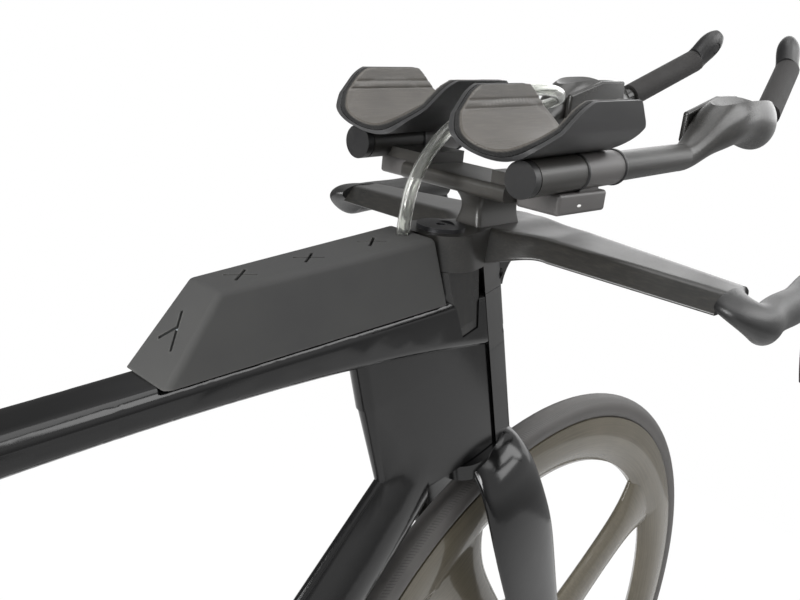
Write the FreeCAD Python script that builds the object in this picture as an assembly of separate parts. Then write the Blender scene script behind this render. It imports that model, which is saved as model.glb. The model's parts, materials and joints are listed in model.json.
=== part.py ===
import FreeCAD, Part
import math
import os

# A time trial bike: X points forward, Y to the rider's left, Z up, millimetres.
# The origin lies on the ground, halfway between the two axles.

# Wheels and frame layout
WHEEL_RADIUS = 336.0
TYRE_SPACE = 328.0
WHEELBASE = 2 * WHEEL_RADIUS + TYRE_SPACE
TYRE_HALF = 13.0
TYRE_RISE = 22.0
RIM_RADIUS = WHEEL_RADIUS - TYRE_RISE
HEAD_ANGLE = 72.8
FORK_RAKE = 45.5
CHAINSTAY = WHEEL_RADIUS + 79.0
BB_DROP = 72.0
SEAT_ANGLE = 78.5

# Gaps between pieces
RUNNING_GAP = 0.05
SWEEP_GAP = 0.5
SEAT_GAP = 0.3

# Head of the frame, measured along the steering axis from the height of the axle
HEAD_BOTTOM = WHEEL_RADIUS + 17.0
HEAD_LENGTH = 123.0
HEAD_HALF = 18.5
HEAD_FRONT = 28.8
HEAD_TAIL = 93.0
HEAD_TAIL_HALF = 3.5
HEAD_TAIL_TOP_HALF = 9.5
FRONT_WHEEL_CUT = WHEEL_RADIUS + 16.0
REAR_WHEEL_CUT = WHEEL_RADIUS + 10.0
STEERER_RADIUS = 12.7
STEERER_WALL = 2.2
HEADSET_RADIUS = 16.2
HEADSET_HEIGHT = 8.0

# Tubes of the frame
TOP_TUBE_HALF = 20.5
TOP_TUBE_HEIGHT = 30.0
TOP_TUBE_SLOPE = 2.9
TOP_TUBE_RISE = 37.0
TOP_TUBE_SETBACK = 22.0
DOWN_TUBE_ANGLE = 45.8
DOWN_TUBE_HALF = 20.0
DOWN_TUBE_TAIL_HALF = 4.0
DOWN_TUBE_TOP_DEPTH = 66.0
DOWN_TUBE_LOW_DEPTH = 84.0
SEAT_TUBE_HALF = 14.5
SEAT_TUBE_NOSE = 32.0
SEAT_TUBE_TAIL = 46.0
BB_SHELL_RADIUS = 27.0
BB_HALF_WIDTH = 43.0
BB_BORE = 20.5
BB_BEARING_WIDTH = 7.0
SPINDLE_RADIUS = 15.0
BOSS_SPACING = 64.0
BOSS_RADIUS = 2.5
BOSS_DEPTH = 12.0
BOSS_OUTER = 5.0
BOSS_START = 106.0

# Cone and outer column that turn with the fork
CONE_TOP_RADIUS = 28.0
CONE_LOW_RADIUS = 22.4
CONE_HALF = 20.0
COLUMN_REACH = 57.0
COLUMN_NOSE_RADIUS = 13.0
COLUMN_TOP_SEAM = 51.0
COLUMN_LOW_SEAM = 102.0
COLUMN_BOLT_RADIUS = 3.5

# Stem and base bar
STACK = 84.0
STEM_HEIGHT = 28.0
STEM_RADIUS = 26.0
CAP_RADIUS = 18.0
CAP_HEIGHT = 3.0
WING_REAR = 70.0
WING_CHORD = 54.0
WING_THICKNESS = 15.0
WING_DROP = 9.5
WING_TIP = 183.0
HORN_REACH = 228.0
HORN_HALF_SPAN = 196.0
HORN_DROP = 20.0
LEVER_HALF = 5.0
LEVER_PIVOT_RADIUS = 8.0
LEVER_PIN_RADIUS = 2.0
LEVER_LENGTH = 92.0

# Arm rests and extensions
RISER_HEIGHT = 28.0
RISER_HALF_LENGTH = 25.0
RISER_HALF_WIDTH = 11.0
RISER_CENTRE = 55.0
BRIDGE_REAR = 4.0
BRIDGE_FRONT = 62.0
BRIDGE_HEIGHT = 12.0
BRIDGE_TOP = 49.0
BEAM_HALF = 49.2
SEAM_GAP = 0.3
TUBE_RADIUS = 11.1
TUBE_SPACING = 154.0
TUBE_REAR = -12.0
TUBE_STRAIGHT_END = 200.0
TUBE_HEIGHT = 51.7
TUBE_SLOPE = 1.82
CLAMP_WALL = 1.5
CLAMP_SEAM = 44.0
CLAMP_FRONT = 92.0
RING_GAP = 3.0
CONTROL_LENGTH = 60.0
CONTROL_WIDTH = 36.0
CONTROL_HEIGHT = 15.0
CONTROL_RISE = 12.5
CUP_SPACING = 114.0
CUP_HALF = 50.0
CUP_DEPTH = 43.0
CUP_WALL = 3.0
CUP_REAR = -31.0
CUP_FRONT = 88.0
PAD_THICKNESS = 5.0
GRIP_RADIUS = 12.0
GRIP_CORE_RADIUS = 9.0
BUTTON_RADIUS = 5.5
BUTTON_TRAVEL = 1.5

# Storage box and drink hose
BOX_LENGTH = 232.0
BOX_HALF = 22.5
BOX_TOP_REAR_HALF = 16.5
BOX_TOP_FRONT = 20.0
BOX_TOP_REAR = 192.0
BOX_REAR_HEIGHT = 48.0
BOX_FRONT_HEIGHT = 53.0
BOX_WALL = 2.5
BOX_BASE = 3.0
BOX_STEM_GAP = 2.5
SLIT_WIDTH = 2.0
SLIT_LENGTH = 20.0
HOSE_RADIUS = 4.8
HOSE_BORE = 3.4
VALVE_RADIUS = 7.0

# Wheels, hubs and brakes
AXLE_RADIUS = 6.0
AXLE_HEAD = 9.0
FRONT_HUB_WIDTH = 100.0
REAR_HUB_WIDTH = 142.0
HUB_END_GAP = 0.4
HUB_RADIUS = 20.0
RIM_DEPTH = 52.0
RIM_HALF = 13.5
SPOKE_COUNT = 4
SPOKE_ANGLE = 34.0
SPOKE_HALF_WIDTH = 27.0
SPOKE_HALF_THICKNESS = 10.0
DISC_HUB_HALF = 26.0
DISC_SKIN = 1.6
FRONT_ROTOR_RADIUS = 80.0
REAR_ROTOR_RADIUS = 70.0
ROTOR_THICKNESS = 1.8
ROTOR_INSET = 15.3
PAD_GAP = 0.5
DROPOUT_WIDTH = 9.0

# Drive
CRANK_LENGTH = 165.0
CRANK_INNER = 54.0
CRANK_THICKNESS = 12.0
CHAINRING_TEETH = 54
SPROCKETS = (11, 12, 13, 14, 15, 16, 17, 19, 21, 24, 28)
DRIVE_SPROCKET = 6
SPROCKET_STEP = 3.7
SPROCKET_THICKNESS = 1.6
PULLEY_TEETH = 12
CHAIN_PITCH = 12.7
CHAIN_LINE = 44.0
CHAIN_HALF_WIDTH = 2.6
CHAIN_HALF_HEIGHT = 4.0
TOOTH_DEPTH = 3.0
FREEHUB_RADIUS = 10.0
PEDAL_AXLE_RADIUS = 5.0
PEDAL_THREAD_RADIUS = 7.0
PEDAL_LENGTH = 84.0
PEDAL_WIDTH = 54.0
PEDAL_HEIGHT = 13.0

# Seat post and saddle
POST_NOSE = 15.0
POST_TAIL = 25.0
POST_HALF = 8.5
POST_INSERT = 180.0
POST_TOP = 700.0
POST_TRAVEL_DOWN = 30.0
POCKET_TOP = 545.0
STAY_TOP = WHEEL_RADIUS - 6.0
RAIL_SPACING = 44.0
RAIL_RADIUS = 3.5
RAIL_LENGTH = 150.0
SADDLE_LENGTH = 250.0
SADDLE_HALF = 66.0
SADDLE_PAD_HEIGHT = 24.0
SADDLE_SHELL = 6.0
SADDLE_CHANNEL = 14.0

V = FreeCAD.Vector
AXIS_X = V(1, 0, 0)
AXIS_Y = V(0, 1, 0)
AXIS_Z = V(0, 0, 1)
ORIGIN = V(0, 0, 0)
QUARTER = 0.5523
SIDES = (-1, 1)
FAR = 400.0

os.makedirs("parts", exist_ok=True)


# Shapes

def save(name, *solids):
    shape = solids[0] if len(solids) == 1 else Part.makeCompound(list(solids))
    shape.exportStep("parts/" + name + ".step")


def mirrored(shape):
    return shape.mirror(ORIGIN, AXIS_Y)


def block(low, high):
    return Part.makeBox(high.x - low.x, high.y - low.y, high.z - low.z, low)


def rod(start, end, radius):
    return Part.makeCylinder(radius, (end - start).Length, start, end - start)


def tube(start, end, outer, inner):
    return rod(start, end, outer).cut(rod(start, end, inner))


def across(centre, radius, low, high):
    """A cylinder along Y between two values of Y."""
    return rod(V(centre.x, low, centre.z), V(centre.x, high, centre.z), radius)


def bezier(*points):
    curve = Part.BezierCurve()
    curve.setPoles(list(points))
    return curve.toShape()


def line(start, end):
    return Part.LineSegment(start, end).toShape()


def arc(start, middle, end):
    return Part.Arc(start, middle, end).toShape()


def skin(ovals):
    """A smooth body through ovals: each gives its centre, two directions and two half widths."""
    base = Part.Circle(ORIGIN, AXIS_Z, 1.0).toBSpline()
    marks = [0.0]
    for before, after in zip(ovals, ovals[1:]):
        marks.append(marks[-1] + (after[0] - before[0]).Length)
    columns = []
    for pole in base.getPoles():
        points = [centre + u * (pole.x * a) + v * (pole.y * b) for centre, u, v, a, b in ovals]
        curve = Part.BSplineCurve()
        if len(points) == 2:
            curve.buildFromPolesMultsKnots(points, (2, 2), (0.0, marks[-1]), False, 1)
        else:
            curve.interpolate(Points=points, Parameters=marks)
        columns.append(curve)
    first = columns[0]
    grid = [[column.getPole(i + 1) for column in columns] for i in range(first.NbPoles)]
    weights = [list(base.getWeights()) for row in grid]
    surface = Part.BSplineSurface()
    surface.buildFromPolesMultsKnots(grid, first.getMultiplicities(), base.getMultiplicities(), first.getKnots(),
                                     base.getKnots(), False, base.isPeriodic(), first.Degree, base.Degree, weights)
    wall = surface.toShape()
    ends = [Part.Face(Part.Wire([edge])) for edge in wall.Edges if edge.isClosed()]
    shell = Part.makeShell([wall] + ends)
    shell.sewShape()
    solid = Part.makeSolid(shell if shell.ShapeType == "Shell" else shell.Shells[0])
    if solid.Volume < 0:
        solid.reverse()
    return solid


def foil(centre, chord, side, nose, tail, half, tail_half):
    """A drop-shaped outline: a round nose along chord and a narrow round tail."""
    def at(along, out):
        return centre + chord * along + side * out
    edges = [
        bezier(at(0, -half), at(nose * QUARTER, -half), at(nose, -half * QUARTER), at(nose, 0)),
        bezier(at(nose, 0), at(nose, half * QUARTER), at(nose * QUARTER, half), at(0, half)),
        bezier(at(0, half), at(-tail * 0.5, half), at(-tail, tail_half)),
        arc(at(-tail, tail_half), at(-tail - tail_half * 0.6, 0), at(-tail, -tail_half)),
        bezier(at(-tail, -tail_half), at(-tail * 0.5, -half), at(0, -half)),
    ]
    return Part.Wire(edges)


def round_rect(centre, u, v, half_u, half_v, radius):
    """A rectangle with round corners."""
    def at(along, out):
        return centre + u * along + v * out
    k = radius * (1 - math.sqrt(0.5))
    edges = []
    turns = [(1, 1), (-1, 1), (-1, -1), (1, -1)]
    starts = []
    for i, (a, b) in enumerate(turns):
        on_v = at(a * half_u, b * (half_v - radius))
        on_u = at(a * (half_u - radius), b * half_v)
        mid = at(a * (half_u - k), b * (half_v - k))
        starts.append((on_v, mid, on_u) if i % 2 == 0 else (on_u, mid, on_v))
    for i, (p, m, q) in enumerate(starts):
        edges.append(arc(p, m, q))
        edges.append(line(q, starts[(i + 1) % 4][0]))
    return Part.Wire(edges)


def loft(wires):
    return Part.makeLoft(wires, True, False)


def prism(points, depth):
    """A polygon pushed along a vector."""
    return Part.Face(Part.makePolygon(points + [points[0]])).extrude(depth)


def egg(plane_point, rear, nose_radius, reach):
    """A plan outline: a circle about the steering axis drawn out to a smaller nose."""
    gap = reach - nose_radius
    lean = math.asin((rear - nose_radius) / gap)

    def at(centre, radius, angle):
        along = centre + radius * math.cos(angle)
        return plane_point + steer_fwd * along + AXIS_Y * (radius * math.sin(angle))
    tangent = math.pi / 2 - lean
    edges = [
        arc(at(0, rear, -tangent), at(0, rear, math.pi), at(0, rear, tangent)),
        line(at(0, rear, tangent), at(gap, nose_radius, tangent)),
        arc(at(gap, nose_radius, tangent), at(gap, nose_radius, 0), at(gap, nose_radius, -tangent)),
        line(at(gap, nose_radius, -tangent), at(0, rear, -tangent)),
    ]
    return Part.Face(Part.Wire(edges))


def pitch_radius(teeth):
    return CHAIN_PITCH / (2 * math.sin(math.pi / teeth))


def toothed_disc(centre, teeth, low, high):
    """A sprocket whose tooth tips stay just inside the rollers of the chain."""
    tip = pitch_radius(teeth) - CHAIN_HALF_HEIGHT - SEAT_GAP
    points = []
    for i in range(teeth):
        for share, radius in ((0.0, tip - TOOTH_DEPTH), (0.3, tip - TOOTH_DEPTH), (0.55, tip), (0.75, tip)):
            angle = 2 * math.pi * (i + share) / teeth
            points.append(V(centre.x + radius * math.cos(angle), low, centre.z + radius * math.sin(angle)))
    return prism(points, V(0, high - low, 0))


# Reference points

front_axle = V(WHEELBASE / 2, 0, WHEEL_RADIUS)
rear_axle = V(-WHEELBASE / 2, 0, WHEEL_RADIUS)
bb = V(rear_axle.x + math.sqrt(CHAINSTAY ** 2 - BB_DROP ** 2), 0, WHEEL_RADIUS - BB_DROP)
head = math.radians(HEAD_ANGLE)
steer_up = V(-math.cos(head), 0, math.sin(head))
steer_fwd = V(math.sin(head), 0, math.cos(head))
axis_foot = V(front_axle.x - FORK_RAKE / math.sin(head), 0, WHEEL_RADIUS)
HEAD_TOP = HEAD_BOTTOM + HEAD_LENGTH
seat = math.radians(SEAT_ANGLE)
seat_up = V(-math.cos(seat), 0, math.sin(seat))
seat_fwd = V(math.sin(seat), 0, math.cos(seat))


def steer(forward, y, up):
    """A point beside the steering axis: forward of it, to the left, and up along it."""
    return axis_foot + steer_fwd * forward + AXIS_Y * y + steer_up * up


bar_point = steer(0, 0, HEAD_TOP + STACK)
BAR_TOP = bar_point.z
stem_floor = BAR_TOP - STEM_HEIGHT


def cockpit(forward, y, up):
    """A point forward of the steering axis at the top of the base bar, level with it."""
    return bar_point + V(forward, y, up)


def seat_point(forward, y, up):
    return bb + seat_fwd * forward + AXIS_Y * y + seat_up * up


def below(height):
    return block(V(bar_point.x - FAR, -FAR, 0), V(bar_point.x + FAR, FAR, height))


def above(height):
    return block(V(bar_point.x - FAR, -FAR, height), V(bar_point.x + FAR, FAR, height + FAR))


def steer_cylinder(radius, low, high):
    return rod(steer(0, 0, low), steer(0, 0, high), radius)


slope = math.radians(TOP_TUBE_SLOPE)
tube_back = V(-math.cos(slope), 0, -math.sin(slope))
tube_up = V(-math.sin(slope), 0, math.cos(slope))
top_front = steer(-TOP_TUBE_SETBACK, 0, HEAD_TOP + TOP_TUBE_RISE)


def on_tube(back, y, up):
    """A point on the top tube's crown: back from its front end, to the left, and up."""
    return top_front + tube_back * back + AXIS_Y * y + tube_up * up


# Frame

def cone(gap):
    low = HEAD_TOP + SWEEP_GAP - gap
    high = HEAD_TOP + STACK
    return Part.makeCone(CONE_LOW_RADIUS + gap, CONE_TOP_RADIUS + gap, high - low,
                         steer(0, 0, low), steer_up)


def head_section(up, tail_half):
    flat = math.sqrt(HEAD_FRONT ** 2 - HEAD_HALF ** 2)

    def at(along, out):
        return steer(along, out, up)
    edges = [
        arc(at(flat, -HEAD_HALF), at(HEAD_FRONT, 0), at(flat, HEAD_HALF)),
        bezier(at(flat, HEAD_HALF), at(-HEAD_TAIL * 0.4, HEAD_HALF), at(-HEAD_TAIL, tail_half)),
        arc(at(-HEAD_TAIL, tail_half), at(-HEAD_TAIL - tail_half, 0), at(-HEAD_TAIL, -tail_half)),
        bezier(at(-HEAD_TAIL, -tail_half), at(-HEAD_TAIL * 0.4, -HEAD_HALF), at(flat, -HEAD_HALF)),
    ]
    return Part.Wire(edges)


def top_tube():
    length = top_front.x - seat_point(0, 0, POCKET_TOP).x
    sections = []
    stations = [(-70.0, TOP_TUBE_HEIGHT + 22.0, 0.5), (20.0, TOP_TUBE_HEIGHT + 8.0, 0.5),
                (100.0, TOP_TUBE_HEIGHT, 0.0), (length, TOP_TUBE_HEIGHT, -2.0)]
    for back, height, wider in stations:
        centre = on_tube(back, 0, -height / 2)
        sections.append(round_rect(centre, AXIS_Y, tube_up, TOP_TUBE_HALF + wider, height / 2, 8.0))
    return loft(sections)


def down_tube():
    angle = math.radians(DOWN_TUBE_ANGLE)
    down = V(-math.cos(angle), 0, -math.sin(angle))
    nose = V(math.sin(angle), 0, -math.cos(angle))
    upper = steer(-HEAD_TAIL - HEAD_TAIL_HALF, 0, HEAD_BOTTOM + 30.0)
    length = (bb - upper).dot(down)
    sections = []
    stations = ((-30.0, DOWN_TUBE_TOP_DEPTH, 0.6), (length * 0.12, DOWN_TUBE_TOP_DEPTH, 0.9),
                (length * 0.5, DOWN_TUBE_TOP_DEPTH, 1.0), (length, DOWN_TUBE_LOW_DEPTH, 1.0))
    for along, depth, share in stations:
        tail = depth * 0.55
        sections.append(foil(upper + down * along + nose * tail, nose, AXIS_Y, depth - tail, tail,
                             DOWN_TUBE_HALF * share, DOWN_TUBE_TAIL_HALF))
    return loft(sections)


def seat_tube():
    sections = []
    for up, wider, half in ((0.0, 9.0, 5.5), (280.0, 3.0, 1.0), (POCKET_TOP + 6.0, 0.0, 0.0)):
        sections.append(foil(seat_point(0, 0, up), seat_fwd, AXIS_Y, SEAT_TUBE_NOSE + wider,
                             SEAT_TUBE_TAIL + wider, SEAT_TUBE_HALF + half, 5.0))
    return loft(sections)


def post_section(up, gap):
    return foil(seat_point(0, 0, up), seat_fwd, AXIS_Y, POST_NOSE + gap, POST_TAIL + gap,
                POST_HALF + gap, 3.0 + gap)


WEDGE_LENGTH = 30.0
WEDGE_HALF = 6.0
WEDGE_DEPTH = 8.0


def wedge(gap):
    base = seat_point(POST_NOSE - 3.0, -WEDGE_HALF - gap, POCKET_TOP - WEDGE_LENGTH - gap)
    points = [base, base + seat_fwd * (WEDGE_DEPTH + 3.0 + gap),
              base + seat_fwd * (WEDGE_DEPTH + 3.0 + gap) + seat_up * (WEDGE_LENGTH + gap + 20.0 * gap),
              base + seat_up * (WEDGE_LENGTH + gap + 20.0 * gap)]
    return prism(points, V(0, 2 * (WEDGE_HALF + gap), 0))


def boss_points():
    """The tops of two level bosses behind the box."""
    first = on_tube(BOX_LENGTH + BOSS_START, 0, 0.5)
    return [first - AXIS_X * (i * BOSS_SPACING) for i in range(2)]


def box_bolt_points():
    return [on_tube(BOX_LENGTH * share, 0, 0) for share in (0.3, 0.7)]


def head_fin():
    """The upper rear of the head, from the head's top up into the top tube."""
    wires = [head_section(HEAD_TOP + up, HEAD_TAIL_TOP_HALF) for up in (-20.0, 50.0)]
    side = -FAR / 2
    front = -HEAD_FRONT - 3.0
    room = prism([steer(front, side, HEAD_TOP - 20.0), steer(front, side, HEAD_TOP + 14.0), on_tube(100.0, side, -20.0),
                  steer(-HEAD_TAIL - 20.0, side, HEAD_TOP - 20.0)], AXIS_Y * FAR)
    return loft(wires).common(room)


def make_frame():
    head_box = loft([head_section(HEAD_BOTTOM, HEAD_TAIL_HALF), head_section(HEAD_TOP, HEAD_TAIL_TOP_HALF)])
    collar_front = Part.makeBox(FAR, FAR, FAR, V(0, -FAR / 2, -FAR / 2))
    collar_front.Placement = FreeCAD.Placement(
        axis_foot, FreeCAD.Rotation(AXIS_Y, HEAD_ANGLE - 90.0)).multiply(collar_front.Placement)
    collar_front.translate(steer_up * HEAD_TOP)
    collar_front = collar_front.cut(steer_cylinder(HEAD_FRONT, HEAD_TOP - FAR, HEAD_TOP + FAR))
    crown = top_tube().cut(collar_front)
    shell = across(bb, BB_SHELL_RADIUS, -BB_HALF_WIDTH, BB_HALF_WIDTH)
    bosses = [rod(point - AXIS_Z * BOSS_DEPTH, point, BOSS_OUTER) for point in boss_points()]
    body = head_box.fuse([head_fin(), crown, down_tube(), seat_tube(), shell] + bosses)
    cuts = [
        across(front_axle, FRONT_WHEEL_CUT, -FAR, FAR),
        across(rear_axle, REAR_WHEEL_CUT, -FAR, FAR),
        steer_cylinder(CONE_TOP_RADIUS + 30.0, HEAD_BOTTOM - FAR, HEAD_BOTTOM),
        steer_cylinder(STEERER_RADIUS + 1.5, HEAD_BOTTOM - FAR, HEAD_TOP + STACK),
        steer_cylinder(HEADSET_RADIUS, HEAD_BOTTOM - 1.0, HEAD_BOTTOM + HEADSET_HEIGHT),
        steer_cylinder(HEADSET_RADIUS, HEAD_TOP - HEADSET_HEIGHT, HEAD_TOP + 1.0),
        cone(SWEEP_GAP),
        across(bb, BB_BORE, -FAR, FAR),
        loft([post_section(POCKET_TOP - POST_INSERT - POST_TRAVEL_DOWN - 20.0, SEAT_GAP),
              post_section(POCKET_TOP + 40.0, SEAT_GAP)]),
        wedge(RUNNING_GAP),
    ]
    for point in boss_points():
        cuts.append(rod(point - AXIS_Z * BOSS_DEPTH, point + AXIS_Z * 10.0, BOSS_RADIUS))
    for point in box_bolt_points():
        cuts.append(rod(point - tube_up * BOSS_DEPTH, point + tube_up * 10.0, BOSS_RADIUS))
    for cutter in cuts:
        body = body.cut(cutter)
    return max(body.Solids, key=lambda solid: solid.Volume)


def stay(stations):
    """A tube through ovals: each station gives x, y, z, half width and half height."""
    return skin([(V(x, y, z), AXIS_Y, AXIS_Z, half_y, half_z) for x, y, z, half_y, half_z in stations])


def make_rear_triangle(front):
    dropout_mid = REAR_HUB_WIDTH / 2 + DROPOUT_WIDTH / 2
    start = seat_point(-SEAT_TUBE_TAIL * 0.5, 0, STAY_TOP)
    near = V(start.x - 50.0, 0, start.z - 44.0)
    pieces = []
    for side in SIDES:
        chain_stay = stay([
            (bb.x - 12.0, 26.0 * side, bb.z, 8.0, 20.0),
            (bb.x - 110.0, 27.5 * side, bb.z + 10.0, 8.5, 17.0),
            (bb.x - 190.0, 34.0 * side, bb.z + 24.0, 8.0, 15.0),
            (rear_axle.x + 78.0, (dropout_mid - 3.0) * side, rear_axle.z - 12.0, 6.5, 12.0),
            (rear_axle.x, dropout_mid * side, rear_axle.z, DROPOUT_WIDTH / 2, 13.0)])
        seat_stay = stay([
            (start.x, 9.0 * side, start.z, 5.5, 14.0),
            (near.x, 20.5 * side, near.z, 5.5, 12.0),
            (rear_axle.x + 120.0, 56.0 * side, rear_axle.z + 116.0, 5.0, 11.0),
            (rear_axle.x + 8.0, dropout_mid * side, rear_axle.z + 8.0, DROPOUT_WIDTH / 2, 10.0)])
        inner = REAR_HUB_WIDTH / 2
        low, high = sorted((inner * side, (inner + DROPOUT_WIDTH) * side))
        pad = across(rear_axle, 16.0, low, high)
        pieces += [chain_stay, seat_stay, pad]
    hanger_low = -REAR_HUB_WIDTH / 2 - DROPOUT_WIDTH
    hanger = across(hanger_point(), 8.0, hanger_low, -REAR_HUB_WIDTH / 2)
    top = V(rear_axle.x, hanger_low, rear_axle.z - 8.0)
    foot = V(hanger_point().x, hanger_low, hanger_point().z)
    web = prism([top - AXIS_X * 6.0, top + AXIS_X * 14.0, foot + AXIS_X * 7.0, foot - AXIS_X * 7.0],
                V(0, DROPOUT_WIDTH, 0))
    body = pieces[0].fuse(pieces[1:] + [hanger, web])
    body = body.cut(across(rear_axle, REAR_HUB_WIDTH, -REAR_HUB_WIDTH / 2, REAR_HUB_WIDTH / 2).common(
        across(rear_axle, 30.0, -FAR, FAR)))
    body = body.cut(across(rear_axle, AXLE_RADIUS + RUNNING_GAP, -FAR, FAR))
    body = body.cut(across(rear_axle, AXLE_HEAD + SEAT_GAP, REAR_HUB_WIDTH / 2 + DROPOUT_WIDTH, FAR))
    body = body.cut(across(hanger_point(), 5.0, -FAR, 0))
    halves = sorted(body.cut(front).Solids, key=lambda solid: solid.Volume)
    return Part.makeCompound(halves[-2:])


def hanger_point():
    return V(rear_axle.x + 6.0, 0, rear_axle.z - 28.0)


frame = make_frame()
save("frame_front_triangle", frame)
save("frame_rear_triangle", *make_rear_triangle(frame).Solids)
save("headset_bearings", *[
    tube(steer(0, 0, low), steer(0, 0, low + HEADSET_HEIGHT), HEADSET_RADIUS, STEERER_RADIUS + RUNNING_GAP)
    for low in (HEAD_BOTTOM, HEAD_TOP - HEADSET_HEIGHT)])
save("bottom_bracket_bearings", *[
    across(bb, BB_BORE, low, low + BB_BEARING_WIDTH).cut(across(bb, SPINDLE_RADIUS + RUNNING_GAP, -FAR, FAR))
    for low in (-BB_HALF_WIDTH, BB_HALF_WIDTH - BB_BEARING_WIDTH)])
save("seatpost_wedge", wedge(0).cut(loft([post_section(POCKET_TOP - 60.0, SEAT_GAP),
                                          post_section(POCKET_TOP + 20.0, SEAT_GAP)])))


# Storage box on the top tube

def box_wire(inset, up):
    share = up / BOX_REAR_HEIGHT
    front = BOX_TOP_FRONT * share + inset
    rear = BOX_LENGTH + (BOX_TOP_REAR - BOX_LENGTH) * share - inset
    front_half = BOX_HALF + share - inset
    rear_half = BOX_HALF + (BOX_TOP_REAR_HALF - BOX_HALF) * share - inset
    lift = (BOX_FRONT_HEIGHT - BOX_REAR_HEIGHT) * share
    corners = [on_tube(front, -front_half, up + lift), on_tube(rear, -rear_half, up),
               on_tube(rear, rear_half, up), on_tube(front, front_half, up + lift)]
    return Part.makePolygon(corners + [corners[0]])


def box_form(inset, low, high):
    return Part.makeLoft([box_wire(inset, low), box_wire(inset, high)], True, True)


HOSE_EXIT = V(-40.0, 0.0, 0.0)


def rear_slits():
    """Two slits on the rear slope that meet like a bent leg and a straight one."""
    middle = on_tube((BOX_LENGTH + BOX_TOP_REAR) / 2, 0, BOX_REAR_HEIGHT / 2)
    rise = tube_back * (BOX_TOP_REAR - BOX_LENGTH) + tube_up * BOX_REAR_HEIGHT
    rise = rise.normalize()
    out = AXIS_Y.cross(rise)
    shapes = []
    for start, end in (((-11.0, -7.0), (12.0, 4.0)), ((2.0, 0.0), (-8.0, 9.0))):
        p = middle + rise * start[0] + AXIS_Y * start[1]
        q = middle + rise * end[0] + AXIS_Y * end[1]
        side = (q - p).normalize().cross(out) * (SLIT_WIDTH / 2)
        corners = [p - side, q - side, q + side, p + side]
        shapes.append(prism([corner - out * 8.0 for corner in corners], out * 16.0))
    return shapes[0].fuse(shapes[1])


def make_box():
    stem_sweep = steer_cylinder(STEM_RADIUS + BOX_STEM_GAP, HEAD_TOP, HEAD_TOP + STACK + 60.0)
    outer = box_form(0.0, 0.0, BOX_REAR_HEIGHT)
    outer = outer.makeFillet(5.0, [edge for edge in outer.Edges if edge.BoundBox.ZMin > top_front.z + 2.0
                                   or edge.BoundBox.ZLength > 20.0])
    outer = outer.cut(stem_sweep)
    inner = box_form(BOX_WALL, 0.0, BOX_REAR_HEIGHT - BOX_WALL)
    stem_wall = steer_cylinder(STEM_RADIUS + BOX_STEM_GAP + 12.0, HEAD_TOP, HEAD_TOP + STACK + 60.0)
    inner = inner.cut(stem_wall)
    cover = outer.cut(inner)
    exit_point = cockpit(HOSE_EXIT.x, HOSE_EXIT.y, HOSE_EXIT.z)
    cover = cover.cut(rod(exit_point - AXIS_Z * 30.0, exit_point + AXIS_Z * 30.0, HOSE_RADIUS + SEAT_GAP))
    for back in (60.0, 115.0, 167.0):
        top = on_tube(back, 0, BOX_FRONT_HEIGHT - 5.0 * back / BOX_TOP_REAR)
        for turn in (-38.0, 38.0):
            slit = block(V(-SLIT_LENGTH / 2, -SLIT_WIDTH / 2, -8.0), V(SLIT_LENGTH / 2, SLIT_WIDTH / 2, 8.0))
            slit.Placement = FreeCAD.Placement(top, FreeCAD.Rotation(AXIS_Z, turn))
            cover = cover.cut(slit)
    cover = cover.cut(rear_slits())
    bladder = box_form(BOX_WALL + SEAT_GAP, BOX_BASE + SEAT_GAP, BOX_REAR_HEIGHT - BOX_WALL - 4.0)
    bladder = bladder.cut(steer_cylinder(STEM_RADIUS + BOX_STEM_GAP + 12.5, HEAD_TOP, HEAD_TOP + STACK + 60.0))
    bladder = bladder.cut(rod(exit_point - AXIS_Z * 30.0, exit_point + AXIS_Z * 30.0, HOSE_RADIUS + SEAT_GAP))
    for point in box_bolt_points():
        bladder = bladder.cut(rod(point, point + tube_up * (BOX_BASE + 4.5), 6.0))
    floor = Part.Face(box_wire(0.0, 0.0)).extrude(tube_up * BOX_BASE)
    base = box_form(BOX_WALL, 0.0, BOX_BASE * 2).common(floor).cut(stem_wall)
    bolts = []
    for point in box_bolt_points():
        base = base.cut(rod(point, point + tube_up * BOX_BASE, BOSS_RADIUS + 0.2))
        shank = rod(point - tube_up * (BOSS_DEPTH - 1.0), point + tube_up * BOX_BASE, BOSS_RADIUS)
        cap = rod(point + tube_up * BOX_BASE, point + tube_up * (BOX_BASE + 3.0), 5.0)
        bolts.append(shank.fuse(cap))
    save("box_cover", cover)
    save("box_base", base)
    save("drink_bladder", bladder)
    save("box_bolts", *bolts)


make_box()


# Drink hose: straight runs joined by arcs

HOSE_ROUTE = [(-40.0, 0.0, -9.0), (-40.0, 0.0, 20.0), (-30.0, 0.0, 47.0), (-8.0, 0.0, 70.0), (26.0, 0.0, 88.0),
              (63.0, 0.0, 98.0), (100.0, 1.0, 102.0), (136.0, 7.0, 99.0), (163.0, 21.0, 93.0),
              (181.0, 42.0, 86.0), (190.0, 62.0, 80.5), (192.0, 78.0, 78.3)]
VALVE_LENGTH = 30.0


def hose_path(points):
    edges = []
    start = points[0]
    radii = []
    for before, corner, after in zip(points, points[1:], points[2:]):
        back = (before - corner).normalize()
        ahead = (after - corner).normalize()
        turn = math.pi - back.getAngle(ahead)
        setback = 0.45 * min((before - corner).Length, (after - corner).Length)
        radius = setback / math.tan(turn / 2)
        radii.append(round(radius))
        first = corner + back * setback
        last = corner + ahead * setback
        middle = (back + ahead).normalize()
        hub = corner + middle * math.hypot(setback, radius)
        edges.append(line(start, first))
        edges.append(arc(first, hub - middle * radius, last))
        start = last
    edges.append(line(start, points[-1]))
    print("hose bend radii", radii)
    return Part.Wire(edges)


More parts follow.
